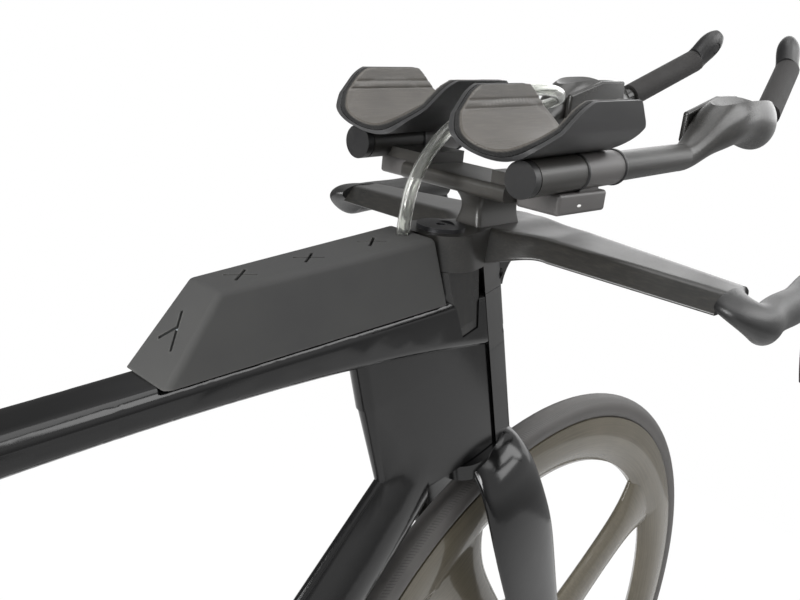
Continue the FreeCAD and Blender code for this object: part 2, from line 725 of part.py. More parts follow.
def make_hose():
    points = [cockpit(*point) for point in HOSE_ROUTE]
    path = hose_path(points)
    direction = (points[1] - points[0]).normalize()
    rings = [Part.Wire(Part.Circle(points[0], direction, radius).toShape()) for radius in (HOSE_RADIUS, HOSE_BORE)]
    outer, bore = [path.makePipeShell([ring], True, False) for ring in rings]
    hose = outer.cut(bore)
    section = math.pi * (HOSE_RADIUS ** 2 - HOSE_BORE ** 2)
    print("hose length", round(path.Length), "volume share", round(hose.Volume / (section * path.Length), 4))
    save("drink_hose", hose)
    end = points[-1]
    ahead = (points[-1] - points[-2]).normalize()
    valve = rod(end, end + ahead * VALVE_LENGTH * 0.4, VALVE_RADIUS)
    mouth = Part.makeCone(VALVE_RADIUS, VALVE_RADIUS * 0.7, VALVE_LENGTH * 0.6, end + ahead * VALVE_LENGTH * 0.4, ahead)
    save("bite_valve", valve.fuse(mouth))


make_hose()


# Fork and outer column

def column(low, high):
    """The outer column between two levels, hollowed to clear the head of the frame."""
    start = HEAD_BOTTOM - 60.0
    body = egg(steer(0, 0, start), STEM_RADIUS, COLUMN_NOSE_RADIUS, COLUMN_REACH).extrude(steer_up * (FAR - 100.0))
    body = body.cut(steer_cylinder(HEAD_FRONT + SWEEP_GAP, start - 1.0, start + FAR))
    body = body.common(below(high)).common(above(low))
    return max(body.Solids, key=lambda solid: solid.CenterOfMass.x)


def column_bolts():
    """Two screws in the right flank of the column's nose: each gives its seat and its direction."""
    angle = math.radians(55.0)
    centre = COLUMN_REACH - COLUMN_NOSE_RADIUS
    outward = steer_fwd * math.cos(angle) - AXIS_Y * math.sin(angle)
    spots = []
    for down in (COLUMN_TOP_SEAM - 9.0, COLUMN_LOW_SEAM - 11.0):
        forward = centre + (COLUMN_NOSE_RADIUS - 4.0) * math.cos(angle)
        side = -(COLUMN_NOSE_RADIUS - 4.0) * math.sin(angle)
        up = (BAR_TOP - down - axis_foot.z - steer_fwd.z * forward) / steer_up.z
        spots.append((steer(forward, side, up), outward))
    return spots


def bolt_room():
    shapes = [rod(seat_at, seat_at + way * 20.0, COLUMN_BOLT_RADIUS + 0.8) for seat_at, way in column_bolts()]
    shapes += [rod(seat_at - way * 5.0, seat_at, COLUMN_BOLT_RADIUS * 0.6) for seat_at, way in column_bolts()]
    return Part.makeCompound(shapes)


FORK_TIP_Y = FRONT_HUB_WIDTH / 2 + DROPOUT_WIDTH / 2


def fork_leg(side):
    """One half of the fork, from the middle of the crown out to the shoulder and down to the axle."""
    lean = V(0.912, 0, 0.41)
    crown = HEAD_BOTTOM - 11.8
    def slope(up, out):
        return steer_up * up + AXIS_Y * out * side

    stations = [
        (steer(23.0, 0, crown), steer_fwd, steer_up, 31.0, 10.3),
        (steer(19.0, 20.0 * side, crown + 0.5), steer_fwd, slope(0.92, 0.39), 31.0, 10.3),
        (steer(15.0, 34.0 * side, crown - 10.0), steer_fwd, slope(0.72, 0.69), 32.5, 10.0),
        (steer(13.0, 43.0 * side, crown - 30.0), steer_fwd, slope(0.42, 0.91), 34.5, 9.5),
        (steer(13.5, 48.0 * side, crown - 56.0), steer_fwd, slope(0.17, 0.985), 36.5, 9.2),
        (steer(16.5, 50.5 * side, crown - 90.0), lean, AXIS_Y * side, 37.0, 9.0),
        (steer(22.0, 51.5 * side, crown * 0.56), lean, AXIS_Y * side, 34.0, 8.5),
        (steer(33.0, 53.5 * side, crown * 0.267), lean, AXIS_Y * side, 27.0, 7.5),
        (steer(FORK_RAKE, FORK_TIP_Y * side, 12.0), lean, AXIS_Y * side, 19.0, DROPOUT_WIDTH / 2),
        (steer(FORK_RAKE, FORK_TIP_Y * side, -32.0), lean, AXIS_Y * side, 14.0, DROPOUT_WIDTH / 2),
    ]
    return skin(stations)


def make_fork():
    legs = [fork_leg(side) for side in SIDES]
    foot = column(steer(0, 0, HEAD_BOTTOM - 12.0).z, BAR_TOP - COLUMN_LOW_SEAM)
    root = egg(steer(0, 0, HEAD_BOTTOM - 16.0), STEM_RADIUS, COLUMN_NOSE_RADIUS, COLUMN_REACH).extrude(
        steer_up * (16.0 - SWEEP_GAP * 2))
    steerer = steer_cylinder(STEERER_RADIUS, HEAD_BOTTOM - 10.0, HEAD_TOP + STACK - 6.0)
    crown_room = steer_cylinder(HEAD_TAIL, HEAD_BOTTOM - SWEEP_GAP * 2, HEAD_BOTTOM + 60.0)
    body = legs[0].fuse([legs[1], root]).cut(crown_room).fuse([foot, steerer])
    inner = FRONT_HUB_WIDTH / 2
    for side in SIDES:
        low, high = sorted((inner * side, (inner + DROPOUT_WIDTH) * side))
        body = body.fuse(across(front_axle, 15.0, low, high))
    body = body.cut(steer_cylinder(STEERER_RADIUS - STEERER_WALL, HEAD_BOTTOM - 40.0, HEAD_TOP + STACK + 10.0))
    body = body.cut(across(front_axle, AXLE_RADIUS + RUNNING_GAP, -FAR, FAR))
    body = body.cut(across(front_axle, 24.0, -inner, inner))
    body = body.cut(across(front_axle, FRONT_WHEEL_CUT - 4.0, -TYRE_HALF - 9.0, TYRE_HALF + 9.0))
    return body


fork = make_fork()
save("fork", fork)

def make_spacers():
    lid = cone(0).common(below(stem_floor))
    slab = block(V(-FAR + bar_point.x, -CONE_HALF, 0), V(FAR + bar_point.x, CONE_HALF, BAR_TOP))
    lid = lid.common(slab).cut(steer_cylinder(STEERER_RADIUS + RUNNING_GAP, HEAD_TOP - 10.0, HEAD_TOP + STACK))
    part = column(BAR_TOP - COLUMN_LOW_SEAM + SEAM_GAP, BAR_TOP - COLUMN_TOP_SEAM - SEAM_GAP)
    return lid, part.cut(bolt_room())


save("stack_spacers", *make_spacers())


# Base bar, hoods and levers

def wing_wire(y, rear, front, top, thick):
    """A wing's outline at one station: sloped back, flat top, round nose and flat underside."""
    def at(along, up):
        return cockpit(along, y, up)
    middle = top - thick / 2
    low = top - thick
    edges = [
        line(at(rear + 2.0, low + 2.5), at(rear + 11.0, top - 2.5)),
        bezier(at(rear + 11.0, top - 2.5), at(rear + 13.0, top), at(rear + 18.0, top)),
        line(at(rear + 18.0, top), at(front - 16.0, top)),
        bezier(at(front - 16.0, top), at(front - 5.0, top), at(front, middle + thick * 0.25), at(front, middle)),
        bezier(at(front, middle), at(front, middle - thick * 0.25), at(front - 5.0, low), at(front - 16.0, low)),
        line(at(front - 16.0, low), at(rear + 5.0, low)),
        bezier(at(rear + 5.0, low), at(rear, low), at(rear + 2.0, low + 2.5)),
    ]
    return Part.Wire(edges)


def wing():
    """The left wing, from the middle of the stem to the seam of the hood."""
    front = WING_REAR + WING_CHORD
    share = WING_DROP / WING_TIP
    stations = [(0.0, -46.0, 6.0, 0.0, 13.0), (14.0, -44.0, 6.0, 0.0, 12.5), (32.0, -29.0, 6.0, -0.3, 6.0),
                (46.0, -21.0, 5.5, 0.0, 2.0), (60.0, -18.0, 5.0, 0.0, 1.0), (WING_TIP, 0.0, 0.0, 0.0, 0.0)]
    wires = []
    for y, rear, nose, top, thicker in stations:
        drop = 0.0 if y < 15.0 else y * share
        wires.append(wing_wire(y, WING_REAR + rear, front + nose, top - drop, WING_THICKNESS + thicker))
    return loft(wires[:-1]).fuse(loft(wires[-2:]))


def gusset():
    """The curved web that carries the column's nose forward into the underside of the bar."""
    foot = steer(COLUMN_REACH - 3.0, 0, 0)
    up = (BAR_TOP - COLUMN_TOP_SEAM - foot.z) / steer_up.z
    start = foot + steer_up * up
    end = cockpit(WING_REAR + WING_CHORD - 14.0, 0, -24.0)
    bend = start + (end - start) * 0.5 + V(-9.0, 0, 7.0)
    edges = [arc(start, bend, end), line(end, end + V(0, 0, 10.0)),
             line(end + V(0, 0, 10.0), V(start.x - 25.0, 0, end.z + 10.0)),
             line(V(start.x - 25.0, 0, end.z + 10.0), V(start.x - 25.0, 0, start.z)),
             line(V(start.x - 25.0, 0, start.z), start)]
    web = Part.Face(Part.Wire(edges)).extrude(AXIS_Y * 20.0)
    web.translate(AXIS_Y * -10.0)
    return web.cut(steer_cylinder(HEAD_FRONT + SWEEP_GAP, HEAD_TOP - 60.0, HEAD_TOP + STACK))


def make_bar():
    plan = egg(steer(0, 0, HEAD_TOP), STEM_RADIUS, COLUMN_NOSE_RADIUS, COLUMN_REACH).extrude(steer_up * STACK * 2)
    stem = plan.common(below(BAR_TOP)).common(above(stem_floor))
    front = column(BAR_TOP - COLUMN_TOP_SEAM, stem_floor + 1.0)
    left = wing()
    body = stem.fuse([front, gusset(), left, mirrored(left)])
    body = body.cut(steer_cylinder(STEERER_RADIUS + RUNNING_GAP, HEAD_TOP, HEAD_TOP + STACK + 40.0))
    return body.cut(bolt_room())


bar = make_bar()
save("base_bar", bar)


def make_cap():
    disc = rod(cockpit(0, 0, 0), cockpit(0, 0, CAP_HEIGHT), CAP_RADIUS)
    plug = rod(steer(0, 0, HEAD_TOP + STACK - 20.0), steer(0, 0, HEAD_TOP + STACK + 1.0),
               STEERER_RADIUS - STEERER_WALL - RUNNING_GAP)
    key = [cockpit(4.0 * math.cos(i * math.pi / 3), 4.0 * math.sin(i * math.pi / 3), 1.0) for i in range(6)]
    return disc.fuse(plug).cut(prism(key, AXIS_Z * 6.0))


save("top_cap", make_cap())

PIVOT_REACH = HORN_REACH - 4.0
PIVOT_DROP = HORN_DROP + 4.0


def lever_pivot(side):
    return cockpit(PIVOT_REACH, HORN_HALF_SPAN * side, -PIVOT_DROP)


def hood():
    """The left rubber cover: it leaves the wing sideways and bends to point forward."""
    middle = WING_REAR + WING_CHORD * 0.5
    low = -WING_DROP - WING_THICKNESS / 2
    stations = [
        (middle, WING_TIP + RUNNING_GAP, low, 0.0, WING_CHORD * 0.52, 8.4),
        (middle - 5.0, WING_TIP + 12.0, low - 5.5, 25.0, 22.0, 12.0),
        (middle - 1.0, WING_TIP + 20.0, low - 10.5, 55.0, 15.0, 14.0),
        (middle + 19.0, WING_TIP + 21.0, low - 10.5, 84.0, 12.0, 14.5),
        (middle + 64.0, HORN_HALF_SPAN + 7.0, -HORN_DROP - 6.0, 95.0, 11.5, 14.5),
        (HORN_REACH - 24.0, HORN_HALF_SPAN + 2.0, -HORN_DROP - 1.5, 96.0, 11.0, 14.0),
        (HORN_REACH, HORN_HALF_SPAN, -HORN_DROP, 90.0, 10.0, 12.0),
    ]
    ovals = []
    for x, y, z, turn, half_wide, half_high in stations:
        angle = math.radians(turn)
        wide = V(math.cos(angle), -math.sin(angle), 0)
        ovals.append((cockpit(x, y, z), wide, AXIS_Z, half_wide, half_high))
    body = skin(ovals)
    pivot = lever_pivot(1)
    gap = LEVER_HALF + SEAT_GAP
    body = body.cut(across(pivot, LEVER_PIVOT_RADIUS + SEAT_GAP * 2, pivot.y - gap, pivot.y + gap))
    mouth = block(V(pivot.x - LEVER_PIVOT_RADIUS - 1.0, pivot.y - gap, pivot.z - 30.0),
                  V(pivot.x + 40.0, pivot.y + gap, pivot.z))
    body = body.cut(mouth)
    pin = across(pivot, LEVER_PIN_RADIUS, pivot.y - gap - 4.0, pivot.y + gap + 4.0)
    return body.cut(pin), pin


def lever(side):
    pivot = lever_pivot(side)
    barrel = across(pivot, LEVER_PIVOT_RADIUS, pivot.y - LEVER_HALF, pivot.y + LEVER_HALF)
    share = LEVER_LENGTH / 100.0
    stations = [(0.0, -1.0, 6.5, LEVER_HALF), (12.0, -26.0, 6.0, LEVER_HALF), (25.0, -55.0, 5.0, LEVER_HALF + 1.0),
                (38.0, -82.0, 4.5, LEVER_HALF + 1.0), (46.0, -100.0, 3.0, LEVER_HALF)]
    blade = skin([(pivot + V(x * share, 0, z * share), AXIS_X, AXIS_Y, a, b) for x, z, a, b in stations])
    return barrel.fuse(blade).cut(across(pivot, LEVER_PIN_RADIUS + RUNNING_GAP, -FAR, FAR))


left_hood = hood()
save("hoods", *left_hood, *[mirrored(piece) for piece in left_hood])
save("brake_lever_right", lever(-1))
save("brake_lever_left", lever(1))


# Arm rests, extensions and shifters

tilt = math.tan(math.radians(TUBE_SLOPE))
HALF_TUBES = TUBE_SPACING / 2
HALF_CUPS = CUP_SPACING / 2


def tube_point(forward, side):
    return cockpit(forward, HALF_TUBES * side, TUBE_HEIGHT + forward * tilt)


def make_riser():
    sizes = [(0.0, 1.0, 1.5), (RISER_HEIGHT * 0.2, 0.0, 0.0), (RISER_HEIGHT * 0.66, 0.0, 0.0),
             (RISER_HEIGHT * 0.85, 2.0, 3.5), (RISER_HEIGHT, 3.0, 7.0)]
    body = loft([round_rect(cockpit(RISER_CENTRE, 0, up), AXIS_X, AXIS_Y, RISER_HALF_LENGTH + longer,
                            RISER_HALF_WIDTH + wider, 3.5) for up, longer, wider in sizes])
    return max(body.cut(bar).Solids, key=lambda solid: solid.Volume)


save("aero_riser", make_riser())

clamp_radius = TUBE_RADIUS + CLAMP_WALL


def make_bridge():
    """A low beam between the control boxes, with a raised shoulder at each end that carries a clamp."""
    low = cockpit(BRIDGE_REAR, -BEAM_HALF, RISER_HEIGHT)
    high = cockpit(BRIDGE_FRONT, BEAM_HALF, RISER_HEIGHT + BRIDGE_HEIGHT)
    body = block(low, high)
    body = body.makeFillet(4.0, [edge for edge in body.Edges if edge.BoundBox.YLength > 50.0])
    for side in SIDES:
        first, last = sorted((34.0 * side, (HALF_TUBES - 2.0) * side))
        body = body.fuse(block(cockpit(BRIDGE_REAR + 4.0, first, BRIDGE_TOP - 8.0),
                               cockpit(BRIDGE_FRONT - 4.0, last, BRIDGE_TOP)))
        first, last = sorted((34.0 * side, BEAM_HALF * side))
        body = body.fuse(block(cockpit(BRIDGE_REAR + 4.0, first, RISER_HEIGHT + 6.0),
                               cockpit(BRIDGE_FRONT - 4.0, last, BRIDGE_TOP - 4.0)))
    for side in SIDES:
        end = tube_point(CLAMP_SEAM - RING_GAP / 2, side)
        body = body.fuse(rod(tube_point(TUBE_REAR + 1.0, side), end, clamp_radius))
    for side in SIDES:
        body = body.cut(rod(tube_point(TUBE_REAR - 40.0, side), tube_point(CLAMP_SEAM + 60.0, side),
                            TUBE_RADIUS + RUNNING_GAP))
    return body


save("arm_rest_bridge", make_bridge())


def control_box(side):
    centre = cockpit(CLAMP_SEAM + RING_GAP + 1.0, (HALF_TUBES - 9.0) * side, 0)
    top = RISER_HEIGHT + CONTROL_RISE
    low = V(centre.x - CONTROL_LENGTH / 2, centre.y - CONTROL_WIDTH / 2, BAR_TOP + top - CONTROL_HEIGHT)
    body = block(low, low + V(CONTROL_LENGTH, CONTROL_WIDTH, CONTROL_HEIGHT))
    body = body.makeFillet(2.5, body.Edges)
    start = tube_point(CLAMP_SEAM + RING_GAP / 2, side)
    neck = block(V(start.x, start.y - 6.0, BAR_TOP + top - 4.0), V(start.x + 24.0, start.y + 6.0, start.z))
    body = body.fuse([neck, rod(start, tube_point(CLAMP_FRONT, side), clamp_radius)])
    body = body.cut(rod(tube_point(0, side), tube_point(CLAMP_FRONT + 60.0, side), TUBE_RADIUS + RUNNING_GAP))
    bridge_room = block(cockpit(BRIDGE_REAR - 20.0, -HALF_TUBES + 1.5, BRIDGE_TOP - 8.0 - SEAT_GAP),
                        cockpit(BRIDGE_FRONT - 3.5, HALF_TUBES - 1.5, BRIDGE_TOP + SEAT_GAP))
    clamp_room = rod(tube_point(TUBE_REAR - 40.0, side), start, clamp_radius + SEAT_GAP)
    body = body.cut(bridge_room).cut(clamp_room)
    return max(body.Solids, key=lambda solid: solid.Volume)


save("control_boxes", *[control_box(side) for side in SIDES])

HAND_HALF = 21.0
HAND_LIFT = 90.0
HAND_HEIGHT = 22.0
GRIP_START = (354.0, 78.0, 83.0)
GRIP_END = (456.0, 51.0, 133.0)
POD_END = (478.0, 38.0, 163.0)


def grip_point(place, side):
    return cockpit(place[0], place[1] * side, place[2])


def extension():
    """The left extension: a straight tube that swells into a hollow hand rest, then the core of the grip."""
    end = tube_point(TUBE_STRAIGHT_END, 1)
    straight = rod(tube_point(TUBE_REAR, 1), end, TUBE_RADIUS)
    rise = end.z - BAR_TOP
    out = HALF_TUBES + 2.0
    stations = [
        (TUBE_STRAIGHT_END - 14.0, HALF_TUBES, rise - 0.4, TUBE_RADIUS - 0.8, TUBE_RADIUS - 0.8),
        (TUBE_STRAIGHT_END + 12.0, HALF_TUBES, rise + 3.0, TUBE_RADIUS + 0.6, TUBE_RADIUS + 1.0),
        (TUBE_STRAIGHT_END + 34.0, HALF_TUBES + 1.0, rise + 17.0, HAND_HALF - 5.0, HAND_HEIGHT - 4.0),
        (TUBE_STRAIGHT_END + 58.0, out, HAND_LIFT - 5.0, HAND_HALF, HAND_HEIGHT),
        (TUBE_STRAIGHT_END + 90.0, out, HAND_LIFT, HAND_HALF + 0.5, HAND_HEIGHT + 1.0),
        (TUBE_STRAIGHT_END + 126.0, out, HAND_LIFT - 3.5, HAND_HALF - 0.5, HAND_HEIGHT + 3.5),
        (TUBE_STRAIGHT_END + 154.0, out - 3.0, HAND_LIFT - 8.0, HAND_HALF - 7.0, HAND_HEIGHT - 6.0),
    ]
    hand = skin([(cockpit(x, y, z), AXIS_Y, AXIS_Z, a, b) for x, y, z, a, b in stations])
    hollow = skin([(cockpit(TUBE_STRAIGHT_END + x, out, HAND_LIFT + z), AXIS_Y, AXIS_Z, a, b)
                   for x, z, a, b in ((20.0, 36.0, HAND_HALF - 6.0, 18.0), (85.0, 28.0, HAND_HALF - 4.0, 24.0),
                                      (160.0, 34.0, HAND_HALF - 6.0, 20.0))])
    wall_y = out - HAND_HALF
    outline = [(33.0, 66.0), (33.0, 92.0), (88.0, 106.0), (126.0, 107.0), (132.0, 82.0), (62.0, 70.0)]
    wall = prism([cockpit(TUBE_STRAIGHT_END + x, wall_y - 2.0, z) for x, z in outline], AXIS_Y * 6.0)
    wall = wall.makeFillet(2.4, wall.Edges)
    core = rod(grip_point(GRIP_START, 1), grip_point(GRIP_END, 1), GRIP_CORE_RADIUS)
    return straight.fuse([hand.cut(hollow), wall, core])


left_extension = extension()
save("extensions", left_extension, mirrored(left_extension))
save("extension_end_caps", *[rod(tube_point(TUBE_REAR - 6.0, side), tube_point(TUBE_REAR, side), clamp_radius)
                             for side in SIDES])


def grip(side):
    start = grip_point(GRIP_START, side)
    end = grip_point(GRIP_END, side)
    return tube(start + (end - start) * 0.17, end, GRIP_RADIUS, GRIP_CORE_RADIUS)


save("extension_grips", *[grip(side) for side in SIDES])


def pod_axes(side):
    start = grip_point(GRIP_END, side)
    end = grip_point(POD_END, side)
    along = (end - start).normalize()
    inward = AXIS_Y * -side
    inward = (inward - along * inward.dot(along)).normalize()
    return start, end, along, inward


BUTTON_DEPTH = 5.0


def button_place(side, offset):
    start, end, along, inward = pod_axes(side)
    return start + (end - start) * 0.6 + inward * offset, inward


def pod(side):
    start, end, along, inward = pod_axes(side)
    back = along.cross(inward)
    shares = [(0.0, GRIP_RADIUS, GRIP_RADIUS), (0.3, GRIP_RADIUS - 1.0, GRIP_RADIUS + 1.0),
              (0.8, GRIP_RADIUS - 2.0, GRIP_RADIUS), (1.0, GRIP_RADIUS * 0.5, GRIP_RADIUS * 0.6)]
    body = skin([(start + (end - start) * share, inward, back, a, b) for share, a, b in shares])
    well, axis = button_place(side, GRIP_RADIUS - BUTTON_DEPTH - BUTTON_TRAVEL - 2.0)
    body = body.cut(rod(well, well + axis * 30.0, BUTTON_RADIUS + SEAT_GAP))
    foot = grip_point(GRIP_START, side)
    grip_way = (start - foot).normalize()
    return body.cut(rod(foot, start + grip_way * RUNNING_GAP, GRIP_RADIUS * 2))


def button(side):
    foot, axis = button_place(side, GRIP_RADIUS - BUTTON_DEPTH - 2.0 + SEAT_GAP)
    disc = rod(foot, foot + axis * BUTTON_DEPTH, BUTTON_RADIUS)
    return disc.makeFillet(0.8, [disc.Edges[0]])


save("shifter_pods", *[pod(side) for side in SIDES])
save("shift_button_right", button(-1))
save("shift_button_left", button(1))


def trough(side, offset, thickness):
    """The U-shaped wall of an arm cup, moved in from the outside by offset."""
    start = cockpit(CUP_REAR - 10.0, HALF_CUPS * side, cup_floor(CUP_REAR - 10.0))
    run = V(CUP_FRONT - CUP_REAR + 20.0, 0, (CUP_FRONT - CUP_REAR + 20.0) * tilt)

    def wall(inset):
        def at(y, z):
            return start + V(0, y, z)
        knee = CUP_HALF - 4.0 - inset * 0.95
        lip = CUP_HALF - inset
        knee_up = CUP_DEPTH * 0.55 + inset * 0.35
        return (at(-lip, CUP_DEPTH), at(-knee, knee_up), at(0, inset), at(knee, knee_up), at(lip, CUP_DEPTH))
    a = wall(offset)
    b = wall(offset + thickness)
    edges = [line(a[0], a[1]), arc(a[1], a[2], a[3]), line(a[3], a[4]), line(a[4], b[4]),
             line(b[4], b[3]), arc(b[3], b[2], b[1]), line(b[1], b[0]), line(b[0], a[0])]
    return Part.Face(Part.Wire(edges)).extrude(run)


def cup_floor(forward):
    return TUBE_HEIGHT + forward * tilt + clamp_radius - 3.2


def round_outline(corners):
    """A closed outline of straight lines with an arc of its own radius at each corner."""
    spots = []
    for index, (corner, radius) in enumerate(corners):
        back = (corners[index - 1][0] - corner).normalize()
        ahead = (corners[(index + 1) % len(corners)][0] - corner).normalize()
        half = back.getAngle(ahead) / 2
        middle = (back + ahead).normalize()
        setback = radius / math.tan(half)
        turn = corner + middle * (radius / math.sin(half) - radius)
        spots.append((corner + back * setback, turn, corner + ahead * setback))
    edges = []
    for index, (first, turn, last) in enumerate(spots):
        edges.append(arc(first, turn, last))
        edges.append(line(last, spots[(index + 1) % len(spots)][0]))
    return Part.Wire(edges)


def cup_side():
    """The side outline of a cup: low and round at the rear, high walls, sloped front."""
    shape = [(CUP_REAR + 14.0, -6.0, 4.0), (CUP_REAR, 10.0, 9.0), (CUP_REAR + 36.0, CUP_DEPTH + 1.0, 40.0),
             (CUP_FRONT - 26.0, CUP_DEPTH + 4.0, 24.0), (CUP_FRONT, CUP_DEPTH * 0.5, 14.0),
             (CUP_FRONT - 12.0, -6.0, 6.0)]
    corners = [(cockpit(x, -FAR / 2, cup_floor(x) + z), radius) for x, z, radius in shape]
    return Part.Face(round_outline(corners)).extrude(AXIS_Y * FAR)


def arm_cup(side):
    body = trough(side, 0.0, CUP_WALL).common(cup_side())
    end = tube_point(CLAMP_FRONT + 60.0, side)
    return body.cut(rod(tube_point(TUBE_REAR - 40.0, side), end, clamp_radius + SEAT_GAP))


def arm_pad(side):
    return trough(side, CUP_WALL + SEAT_GAP, PAD_THICKNESS).common(cup_side())


save("arm_cups", *[arm_cup(side) for side in SIDES])
save("arm_pads", *[arm_pad(side) for side in SIDES])


def hose_clip():
    """A ring on the left extension with a cradle for the drinking valve."""
    start = tube_point(185.0, 1)
    end = tube_point(197.0, 1)
    ring = tube(start, end, TUBE_RADIUS + 2.0, TUBE_RADIUS + RUNNING_GAP)
    return ring.cut(left_extension)


save("hose_clip", hose_clip())


def socket_bolt(point, axis, radius, length):
    shank = rod(point - axis * length, point, radius * 0.6)
    cap = rod(point, point + axis * radius, radius)
    key = rod(point + axis * radius * 0.4, point + axis * radius * 2, radius * 0.5)
    return shank.fuse(cap).cut(key)


# Front wheel, hub and brake

def revolve(points, axle):
    placed = [V(axle.x, y, axle.z + r) for r, y in points]
    return Part.Face(Part.makePolygon(placed + [placed[0]])).revolve(axle, AXIS_Y, 360)


def tyre(axle):
    casing = Part.makeTorus(WHEEL_RADIUS - TYRE_HALF, TYRE_HALF, axle, AXIS_Y)
    rim_room = across(axle, RIM_RADIUS + RUNNING_GAP, -FAR, FAR)
    return casing.cut(rim_room)


def hub(axle, width, left, right):
    """A hub shell with two bearings: left and right give the radii of its ends."""
    half = width / 2 - HUB_END_GAP
    shell = across(axle, HUB_RADIUS, -DISC_HUB_HALF, DISC_HUB_HALF)
    shell = shell.fuse([across(axle, right, -half, 0), across(axle, left, 0, half)])
    shell = shell.cut(across(axle, AXLE_RADIUS + RUNNING_GAP, -FAR, FAR))
    bearings = []
    for low in (-DISC_HUB_HALF + 6.0, DISC_HUB_HALF - 13.0):
        race = across(axle, 14.0, low, low + 7.0)
        shell = shell.cut(race)
        bearings.append(race.cut(across(axle, AXLE_RADIUS + RUNNING_GAP, -FAR, FAR)))
    return [shell] + bearings


def rotor(axle, radius, y):
    ring = across(axle, radius, y, y + ROTOR_THICKNESS).cut(across(axle, radius - 14.0, y - 1.0, y + 4.0))
    carrier = across(axle, 20.0, y, y + ROTOR_THICKNESS)
    arms = []
    for i in range(6):
        angle = math.radians(60.0 * i)
        swept = math.radians(60.0 * i + 28.0)
        p = V(axle.x + 16.0 * math.cos(angle), y, axle.z + 16.0 * math.sin(angle))
        q = V(axle.x + (radius - 10.0) * math.cos(swept), y, axle.z + (radius - 10.0) * math.sin(swept))
        side = (q - p).normalize().cross(AXIS_Y) * 4.0
        arms.append(prism([p + side, q + side, q - side, p - side], AXIS_Y * ROTOR_THICKNESS))
    body = ring.fuse([carrier] + arms)
    for i in range(24):
        angle = math.radians(15.0 * i)
        reach = radius - (4.5 if i % 2 else 9.5)
        hole = V(axle.x + reach * math.cos(angle), 0, axle.z + reach * math.sin(angle))
        body = body.cut(across(hole, 2.0, y - 1.0, y + 4.0))
    return body.cut(across(axle, rotor_seat, y - 1.0, y + 4.0))


rotor_seat = 13.0
front_rotor_y = FRONT_HUB_WIDTH / 2 - ROTOR_INSET
rear_rotor_y = REAR_HUB_WIDTH / 2 - ROTOR_INSET


def front_wheel():
    inner = RIM_RADIUS - RIM_DEPTH
    half = RIM_HALF
    rim = revolve([(inner, -3.0), (inner + 6.0, -8.0), (inner + 24.0, -half), (RIM_RADIUS - 8.0, -half + 1.0),
                   (RIM_RADIUS, -half + 2.0), (RIM_RADIUS, half - 2.0), (RIM_RADIUS - 8.0, half - 1.0),
                   (inner + 24.0, half), (inner + 6.0, 8.0), (inner, 3.0)], front_axle)
    barrel = across(front_axle, HUB_RADIUS + 10.0, -DISC_HUB_HALF + 4.0, DISC_HUB_HALF - 4.0)
    spokes = []
    for i in range(SPOKE_COUNT):
        angle = math.radians(SPOKE_ANGLE + 360.0 * i / SPOKE_COUNT)
        out = V(math.cos(angle), 0, math.sin(angle))
        tangent = V(-math.sin(angle), 0, math.cos(angle))
        sizes = [(HUB_RADIUS + 2.0, SPOKE_HALF_WIDTH * 0.8, DISC_HUB_HALF - 8.0),
                 (inner * 0.3, SPOKE_HALF_WIDTH, SPOKE_HALF_THICKNESS + 2.0),
                 (inner * 0.72, SPOKE_HALF_WIDTH, SPOKE_HALF_THICKNESS),
                 (inner * 0.9, SPOKE_HALF_WIDTH * 1.3, SPOKE_HALF_THICKNESS),
                 (inner + 12.0, SPOKE_HALF_WIDTH * 2.3, SPOKE_HALF_THICKNESS - 1.0)]
        spokes.append(skin([(front_axle + out * r, tangent, AXIS_Y, a, b) for r, a, b in sizes]))
    body = rim.fuse([barrel] + spokes)
    body = body.cut(across(front_axle, HUB_RADIUS, -FAR, FAR))
    return body.common(across(front_axle, RIM_RADIUS, -FAR, FAR))


save("front_tyre", tyre(front_axle))
save("front_wheel", front_wheel())
save("front_hub", *hub(front_axle, FRONT_HUB_WIDTH, rotor_seat, 12.0))
save("front_rotor", rotor(front_axle, FRONT_ROTOR_RADIUS, front_rotor_y))
save("front_axle", across(front_axle, AXLE_RADIUS, -FRONT_HUB_WIDTH / 2 - DROPOUT_WIDTH,
                          FRONT_HUB_WIDTH / 2 + DROPOUT_WIDTH).fuse(
    across(front_axle, AXLE_HEAD, FRONT_HUB_WIDTH / 2 + DROPOUT_WIDTH, FRONT_HUB_WIDTH / 2 + DROPOUT_WIDTH + 3.0)))


def caliper(axle, radius, y, corner, size):
    """A brake body with a slot for the rotor and a pad on each side of it."""
    middle = y + ROTOR_THICKNESS / 2
    low = V(corner.x, middle - size.y / 2, corner.z)
    body = block(low, low + size)
    body = body.makeFillet(4.0, [edge for edge in body.Edges if edge.BoundBox.YLength > size.y / 2])
    slot = 3.4 + ROTOR_THICKNESS / 2
    body = body.cut(across(axle, radius + 3.0, middle - slot, middle + slot))
    pads = []
    for side in SIDES:
        near = middle + side * (ROTOR_THICKNESS / 2 + PAD_GAP)
        far = middle + side * slot
        a, b = sorted((near, far))
        ring = across(axle, radius - 1.0, a, b).cut(across(axle, radius - 15.0, a - 1.0, b + 1.0))
        pads.append(ring.common(block(V(low.x + 5.0, a, low.z + 5.0), V(low.x + size.x - 5.0, b, low.z + size.z - 5.0))))
    return [body] + [pad for group in pads for pad in group.Solids]


front_corner = front_axle + V(-88.0, 0, 26.0)
front_caliper = caliper(front_axle, FRONT_ROTOR_RADIUS, front_rotor_y, front_corner, V(40.0, 24.0, 44.0))
front_caliper[0] = front_caliper[0].cut(fork)
save("front_caliper", *front_caliper)


# Rear wheel, hub, brake and axle

